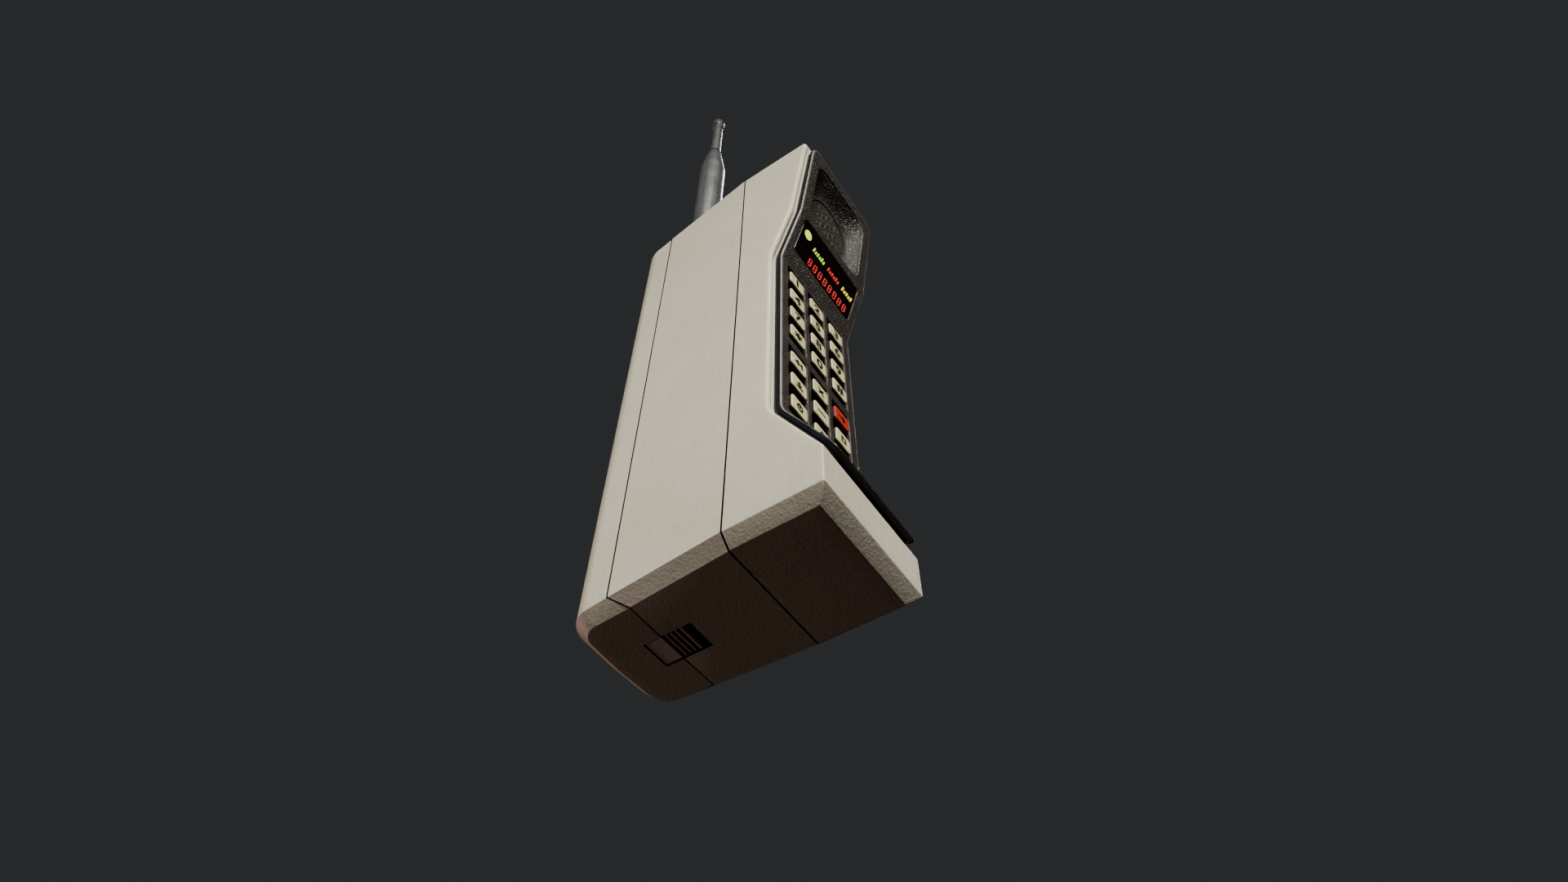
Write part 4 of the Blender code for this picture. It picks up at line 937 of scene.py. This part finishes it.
def printedSign(name, k, place):
    # a digit, star or hash made a mesh, centred on its key, widened a little and laid on the key's face
    text = assign(bpy.data.curves.new(name + "_sign", "FONT"), body=keySigns[name], align_x="CENTER",
                  align_y="CENTER", extrude=k["ink"] * mm, offset=k["bolder"] * mm, resolution_u=6)
    text.size = (k["star"] if text.body == "*" else k["digit"]) * mm
    holder = linked(name + "_text", text)
    graph = bpy.context.evaluated_depsgraph_get()
    mesh = bpy.data.meshes.new_from_object(holder.evaluated_get(graph))
    bpy.data.objects.remove(holder)
    points = np.zeros((len(mesh.vertices), 3))
    mesh.vertices.foreach_get("co", points.ravel())
    points = points / mm
    points[:, :2] -= (points[:, :2].max(0) + points[:, :2].min(0)) / 2
    points[:, 0] *= k["digitStretch"]
    mesh.vertices.foreach_set("co", place(points).ravel())
    mesh.materials.clear()
    mesh.name = name + "_sign"
    return mesh


def makeKeys(k):
    # one cap shape with a dark foot, and a sign of thin ink on its face
    grid, worn = padGrid(k, k["edge"], 14, 12, 4, k["dish"], 6)
    cap = k["capRings"]
    for name in [*keySigns, *keyStrokes]:
        low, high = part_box(name)
        middle = np.array([(low.x + high.x) / 2, low.y, (low.z + high.z) / 2])

        def place(points):
            points = np.asarray(points) * mm
            return middle + np.stack([points[..., 0], -points[..., 2], points[..., 1]], -1)

        slot, plastic = ("red_key", redPlastic) if name == "key_send" else ("key", keyPlastic)
        sheets = Sheets().add(place(grid[:cap]), wrap=True, edge=worn[:cap])
        sheets.add(place(grid[cap - 1:]), wrap=True, slot=1)
        addPiece(name + "_cap", sheets.mesh(name + "_cap", 60), name, [plastic, matRubber], [name])
        if name in keySigns:
            mesh = printedSign(name, k, place)
        else:
            sheets = Sheets()
            for stroke in keyStrokes[name]:
                strokeSheet(sheets, stroke, k["stroke"], 2 * k["ink"], lambda p: place(p - [0, 0, k["ink"]]))
            mesh = sheets.mesh(name + "_sign")
        addPiece(name + "_sign", mesh, name, [ink])


makeKeys(keySizes)
print("telephone: keys made")


latchSizes = {
    "half": 4.8, "front": 15.2, "back": 27.1, "low": 0.3, "high": 2.1, "edge": 0.25, "steps": 240,
    "ribs": 4, "pitch": 1.6, "firstRib": 0.55, "groove": 0.75,
}


def makeLatch(k):
    # Rows run from front to back. Each is a rounded rectangle whose lower side dips between the ribs, along a
    # triangle wave cut flat at its top and bottom.
    ys = np.concatenate([[k["front"]], np.linspace(k["front"], k["back"], k["steps"]), [k["back"]]])
    into = (ys - k["front"] - k["firstRib"]) / k["pitch"]
    wave = np.clip(np.abs((into % 1) - 0.5) * 8 - 2.2, 0, 1)
    dip = k["groove"] * np.where((into > 0) & (into < k["ribs"]), 1 - wave, 0)
    endEase = np.minimum(np.minimum(ys - k["front"], k["back"] - ys) / k["edge"], 1)
    inset = k["edge"] * (1 - np.sqrt(1 - (1 - endEase) ** 2))
    low = k["low"] + dip + inset
    high = np.full_like(ys, k["high"])
    half = k["half"] - inset
    loop = roundedLoop(2, 2, 0.16, 12, 8)
    middle, tall = (low + high) / 2, (high - low) / 2
    grid = np.stack([half[:, None] * loop[:, 0], ys[:, None] + 0 * loop[:, 0],
                     middle[:, None] + tall[:, None] * loop[:, 1]], -1)
    for end in (0, -1):
        grid[end, :, [0, 2]] = np.array([[0], [middle[end]]])
    worn = np.clip(1 - dip / k["groove"] - (into > k["ribs"]), 0, 1)
    # painted shade darkens the bottoms of the grooves
    deep = np.tile((dip[1:] + dip[:-1] > k["groove"])[:, None], (1, len(loop)))
    grid = grid * mm
    sheets = Sheets().add(grid, wrap=True, edge=worn, keep=~deep).add(grid, wrap=True, keep=deep, slot=1)
    mesh = sheets.mesh("latchPlate", 30)
    addPiece("latchPlate", mesh, "latch", [latchLitPlastic, paintedShade], ["battery_latch"])


makeLatch(latchSizes)


antennaSizes = {
    "x": -14.1, "y": 16.3, "steps": 96,
    # stud, foot, thick rod, taper, collar, thin rod, cap
    "profile": [(0, 195.6), (2.4, 195.6), (2.4, 206.65), (5.6, 206.65), (5.6, 272.0), (3.05, 290.6),
                (2.85, 290.8), (2.7, 293.2), (2.6, 293.4), (2.55, 295.0), (2.35, 308.0), (2.3, 325.0),
                (2.9, 325.0), (2.9, 330.0), (0, 330.0)],
    "fillets": [0, 0.2, 0.1, 0.4, 9.0, 0.2, 0.1, 0.05, 0.05, 3.0, 10.0, 0.15, 0.2, 0.6, 0],
    "shadedBand": (290.7, 293.3),
}


def makeAntenna(k):
    # a profile of (radius, height) turned about the antenna's axis
    path = filletPath(k["profile"], k["fillets"], 6)
    grid = turned(path, k["steps"], (k["x"], k["y"], 0)) * mm
    # a band between the taper and the neck takes the dark rubber finish: painted shade at the step there
    height = (path[1:, 1] + path[:-1, 1]) / 2
    shadedBand = np.tile(((height > k["shadedBand"][0]) & (height < k["shadedBand"][1]))[:, None], (1, k["steps"]))
    sheets = Sheets().add(grid, wrap=True, keep=~shadedBand).add(grid, wrap=True, keep=shadedBand, slot=1)
    mesh = sheets.mesh("antennaRod", 35)
    addPiece("antennaRod", mesh, "antenna_rod", [antennaMetal, matRubber], ["antenna"])


makeAntenna(antennaSizes)
print("telephone: latch and antenna made")


# parts that keep their own mesh
carried = [
    (gasketRubber, ["face_gasket"]), (matRubber, ["keypad_mat"]), (faceGrain, ["earpiece_grille"]),
    (lens, ["digit_display"]), (litLime, ["status_lamp"]), (casePlastic, ["battery_tray"]),
    (board, ["display_board", "keypad_board", "logic_board", "radio_board", "pack_board"]),
    (tinnedSteel, ["earpiece_speaker", "microphone", "radio_shield", "antenna_filter", "latch_spring"]),
    (tinnedSteel, [f"board_screw_{n}" for n in range(1, 5)]),
    (brass, ["antenna_socket", "battery_contact_plus", "battery_contact_minus"]),
    (brass, ["pack_terminal_plus", "pack_terminal_minus"]),
    (sleeve, [f"battery_cell_{n}" for n in range(1, 7)]),
]
for finish, names in carried:
    for name in names:
        materials = bpy.data.objects[name].data.materials
        materials.clear()
        materials.append(finish)
print("telephone: kept parts finished")


stageSizes = {"floor": -1.5, "reach": 6.0}


def makeFloor(k):
    finish = Finish("paleFloor")
    cloud = finish.noise(0.4)
    tone = finish.mix(cloud, (0.60, 0.59, 0.57), (0.66, 0.65, 0.63))
    reach, low = k["reach"], k["floor"]
    mesh = meshFrom("floor", [(-reach, -reach, low), (reach, -reach, low), (reach, reach, low),
                              (-reach, reach, low)], [(0, 1, 2, 3)])
    mesh.materials.append(finish.set(tone, 0.8))
    linked("floor", mesh)


# direction, distance, size, power, colour, point aimed at, spread in degrees
lights = {
    "keyLight": ((-0.66, -0.64, 0.46), 0.9, (0.5, 0.5), 1.72, (1.0, 0.965, 0.865), (0, 0, 0.08), 38),
    "rimLight": ((0.62, 0.10, 0.78), 0.9, (0.12, 0.7), 0.8, (1.0, 1.0, 1.0), (0, 0, 0.25), 60),
    "lowLight": ((-0.22, 0.97, -0.015), 0.8, (0.4, 0.4), 0.24, (1.0, 0.66, 0.58), (0, 0, 0.04), 50),
    "baseSheen": ((0.62, 0.54, -0.72), 0.6, (0.3, 0.3), 0.005, (1.0, 0.45, 0.32), (0, 0.02, 0), 60),
    "antennaTint": ((-0.75, 0.6, 0.25), 0.6, (0.4, 0.6), 0.25, (0.35, 0.6, 1.0), (-0.014, 0.016, 0.28), 180),
}


def areaLight(name, toward, distance, size, power, tone, target, spread):
    lamp = assign(bpy.data.lights.new(name, "AREA"), shape="RECTANGLE", size=size[0], size_y=size[1],
                  energy=power, color=tone, spread=np.radians(spread))
    holder = linked(name, lamp)
    way = Vector(toward).normalized()
    holder.location = Vector(target) + way * distance
    holder.rotation_euler = way.to_track_quat("Z", "Y").to_euler()


# backdrop as seen, and the fainter warm light that it gives
worldTones = {"seen": (0.0265, 0.0285, 0.0305), "light": (0.0076, 0.0018, 0.0008)}


def makeWorld(k):
    world = bpy.data.worlds.new("studio")
    bpy.context.scene.world = world
    world.use_nodes = True
    nodes, links = world.node_tree.nodes, world.node_tree.links
    path = nodes.new("ShaderNodeLightPath")
    blend = nodes.new("ShaderNodeMix")
    blend.data_type = "RGBA"
    blend.inputs[6].default_value = (*k["light"], 1)
    blend.inputs[7].default_value = (*k["seen"], 1)
    links.new(path.outputs["Is Camera Ray"], blend.inputs[0])
    links.new(blend.outputs[2], nodes["Background"].inputs["Color"])


cameraSizes = {"lens": 24.44, "sensor": 36.0, "near": 0.005,
               "place": (-0.1600, -0.1209, -0.1881), "toward": (0.505, 0.339, 0.794)}


def makeCamera(k):
    camera = assign(bpy.data.cameras.new("camera"), lens=k["lens"], sensor_width=k["sensor"],
                    clip_start=k["near"])
    holder = linked("camera", camera)
    holder.location = k["place"]
    holder.rotation_euler = Vector(k["toward"]).to_track_quat("-Z", "Y").to_euler()
    bpy.context.scene.camera = holder


makeFloor(stageSizes)
makeWorld(worldTones)
for name, values in lights.items():
    areaLight(name, *values)
makeCamera(cameraSizes)
print("telephone: stage, lights and camera set")
